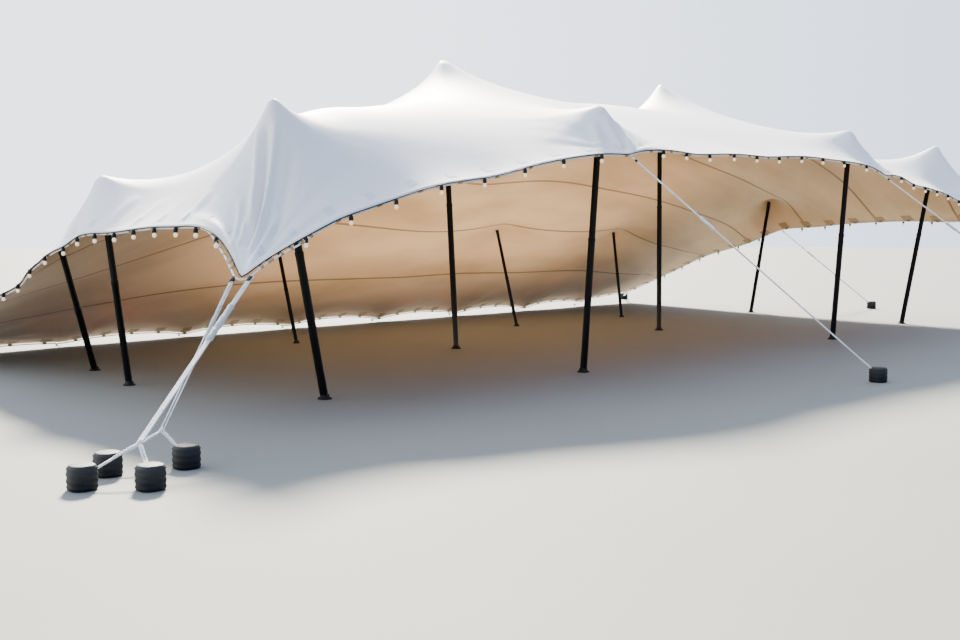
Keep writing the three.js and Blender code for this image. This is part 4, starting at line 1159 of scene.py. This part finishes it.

# %% [markdown]
# Each anchor is a steel stake driven to its head, under a heavy black rubber cover that keeps feet
# off it. The cover is a box with well rounded corners and shallow ribs round it. A cube is bevelled
# for the corners and cut through in steps of a centimetre, and of every four cuts two are drawn in.
# The cover is greyer towards its top.

# %% Black rubber, greyer on top
cover_rubber, tree, shader = finish_named("black_rubber_greyer_on_top")
place = add(tree, "TexCoord").outputs["Object"]
height = add(tree, "SeparateXYZ", {0: place}).outputs["Z"]
grit = {"Vector": place, "Scale": 30.0, "Detail": 8.0, "Roughness": 0.65}
grit_noise = add(tree, "TexNoise", grit).outputs["Fac"]
# The cover's colour turns greyer towards its top, and the grit noise breaks up where the grey begins.
lifted = add(tree, "Math", {0: grit_noise, 1: 0.06, 2: height}, operation="MULTIPLY_ADD")
grey_to_top_range = {"Value": lifted.outputs[0], "From Min": 0.07, "From Max": 0.19}
greyer_to_top = add(tree, "MapRange", grey_to_top_range).outputs["Result"]
tone = add(tree, "Mix", {SHARE: greyer_to_top, FROM: linear("0B0B0C"), TO: linear("303132")}, **BLEND)
relief = add(tree, "Bump", {"Height": grit_noise, "Strength": 0.3, "Distance": 0.0015})
plug(shader, {"Base Color": tone.outputs[MIXED], "Normal": relief.outputs["Normal"]})
plug(shader, {"Roughness": 0.62, "Specular IOR Level": 0.3})
print(cover_rubber.name, "nodes:", len(tree.nodes))

# %% Anchor covers
COVER, COVER_HIGH, CORNER_ROUND, LID_ROUND = 0.17, 0.15, 0.07, 0.014
CUT_TOP, CUT_STEP, LID_LEVEL = 0.055, 0.01, 0.07
GROOVE_IN, LID_IN, BASE_IN = 0.955, 0.9, 0.97
for node, base in anchors.items():
    cover_bm = bmesh.new()
    bmesh.ops.create_cube(cover_bm, size=1, matrix=Matrix.Diagonal((COVER, COVER, COVER_HIGH, 1)))
    upright = [e for e in cover_bm.edges if abs(e.verts[0].co.z - e.verts[1].co.z) > COVER_HIGH / 2]
    rounded(cover_bm, upright, CORNER_ROUND, 8)
    for cut in np.arange(-CUT_TOP, CUT_TOP + 0.001, CUT_STEP):
        whole = cover_bm.verts[:] + cover_bm.edges[:] + cover_bm.faces[:]
        bmesh.ops.bisect_plane(cover_bm, geom=whole, plane_co=(0, 0, cut), plane_no=UP, dist=1e-5)
    for vertex in cover_bm.verts:
        inner = 1.0
        if abs(vertex.co.z) < CUT_TOP + 0.001 and round((vertex.co.z + CUT_TOP) / CUT_STEP) % 4 in (1, 2):
            inner = GROOVE_IN
        if abs(vertex.co.z) > LID_LEVEL:
            inner = LID_IN if vertex.co.z > 0 else BASE_IN
        vertex.co.x *= inner
        vertex.co.y *= inner
    lids = [e for e in cover_bm.edges if all(abs(v.co.z) > LID_LEVEL for v in e.verts)]
    rounded(cover_bm, lids, LID_ROUND, 4)
    spot = Matrix.Translation(base + UP * (COVER_HIGH / 2))
    bmesh.ops.transform(cover_bm, matrix=spot, verts=cover_bm.verts)
    piece_from(cover_bm, node + "_cover", [cover_rubber], [node])
print("anchor covers:", len(anchors))

# %% [markdown]
# Along the back the cloth comes down almost to the floor. There short white straps hold it to
# plain steel pegs with round heads, one at each tie.

# %% Galvanised steel pegs
galvanised, tree, shader = finish_named("galvanised_steel")
place = add(tree, "TexCoord").outputs["Object"]
spangle = add(tree, "TexVoronoi", {"Vector": place, "Scale": 220.0}).outputs["Distance"]
tone = add(tree, "Mix", {SHARE: spangle, FROM: linear("9A9D9F"), TO: linear("C4C6C8")}, **BLEND)
plug(shader, {"Base Color": tone.outputs[MIXED], "Metallic": 1.0, "Roughness": 0.42})

PEG_BEHIND, STRAP_HEIGHT, STRAP = 0.18, 0.02, 0.0045
STRAP_LOOP, STRAP_FROM, STRAP_APART = 0.0185, 0.016, 0.012
PEG = [
    (0.0, 0.0), (0.0145, 0.0), (0.0145, 0.026), (0.0215, 0.029), (0.0222, 0.034), (0.02, 0.039), (0.0, 0.0398)
]
for number, (s, (x, y, z)) in enumerate(BACK_TIES, start=1):
    peg = Vector((x, y + PEG_BEHIND, 0)) + Vector(ORIGIN)
    hold = peg + UP * STRAP_HEIGHT
    peg_bm, strap_bm = bmesh.new(), bmesh.new()
    turned(peg_bm, PEG, 20, Matrix.Translation(peg))
    piece_from(peg_bm, f"back_peg_{number}_steel", [galvanised], [f"back_peg_{number}"])
    lay_rope(strap_bm, small_ring(hold, Vector((1, 0, 0)), Vector((0, 1, 0)), STRAP_LOOP), STRAP, closed=True)
    strap_end = hold - Vector((0, STRAP_FROM, 0))
    strands(strap_bm, on_rope(s, DEPTH), strap_end, STRAP_APART, STRAP, Vector((1, 0, 0)))
    piece_from(strap_bm, f"back_peg_{number}_strap", [white_rope])
print("back pegs:", len(BACK_TIES))

# %% [markdown]
# The canopy is one stretched sheet, cut flat to 15.0 by 8.4 m.

# %% The sheet's own facts
print("the flat sheet is 15.0 by 8.4 m")
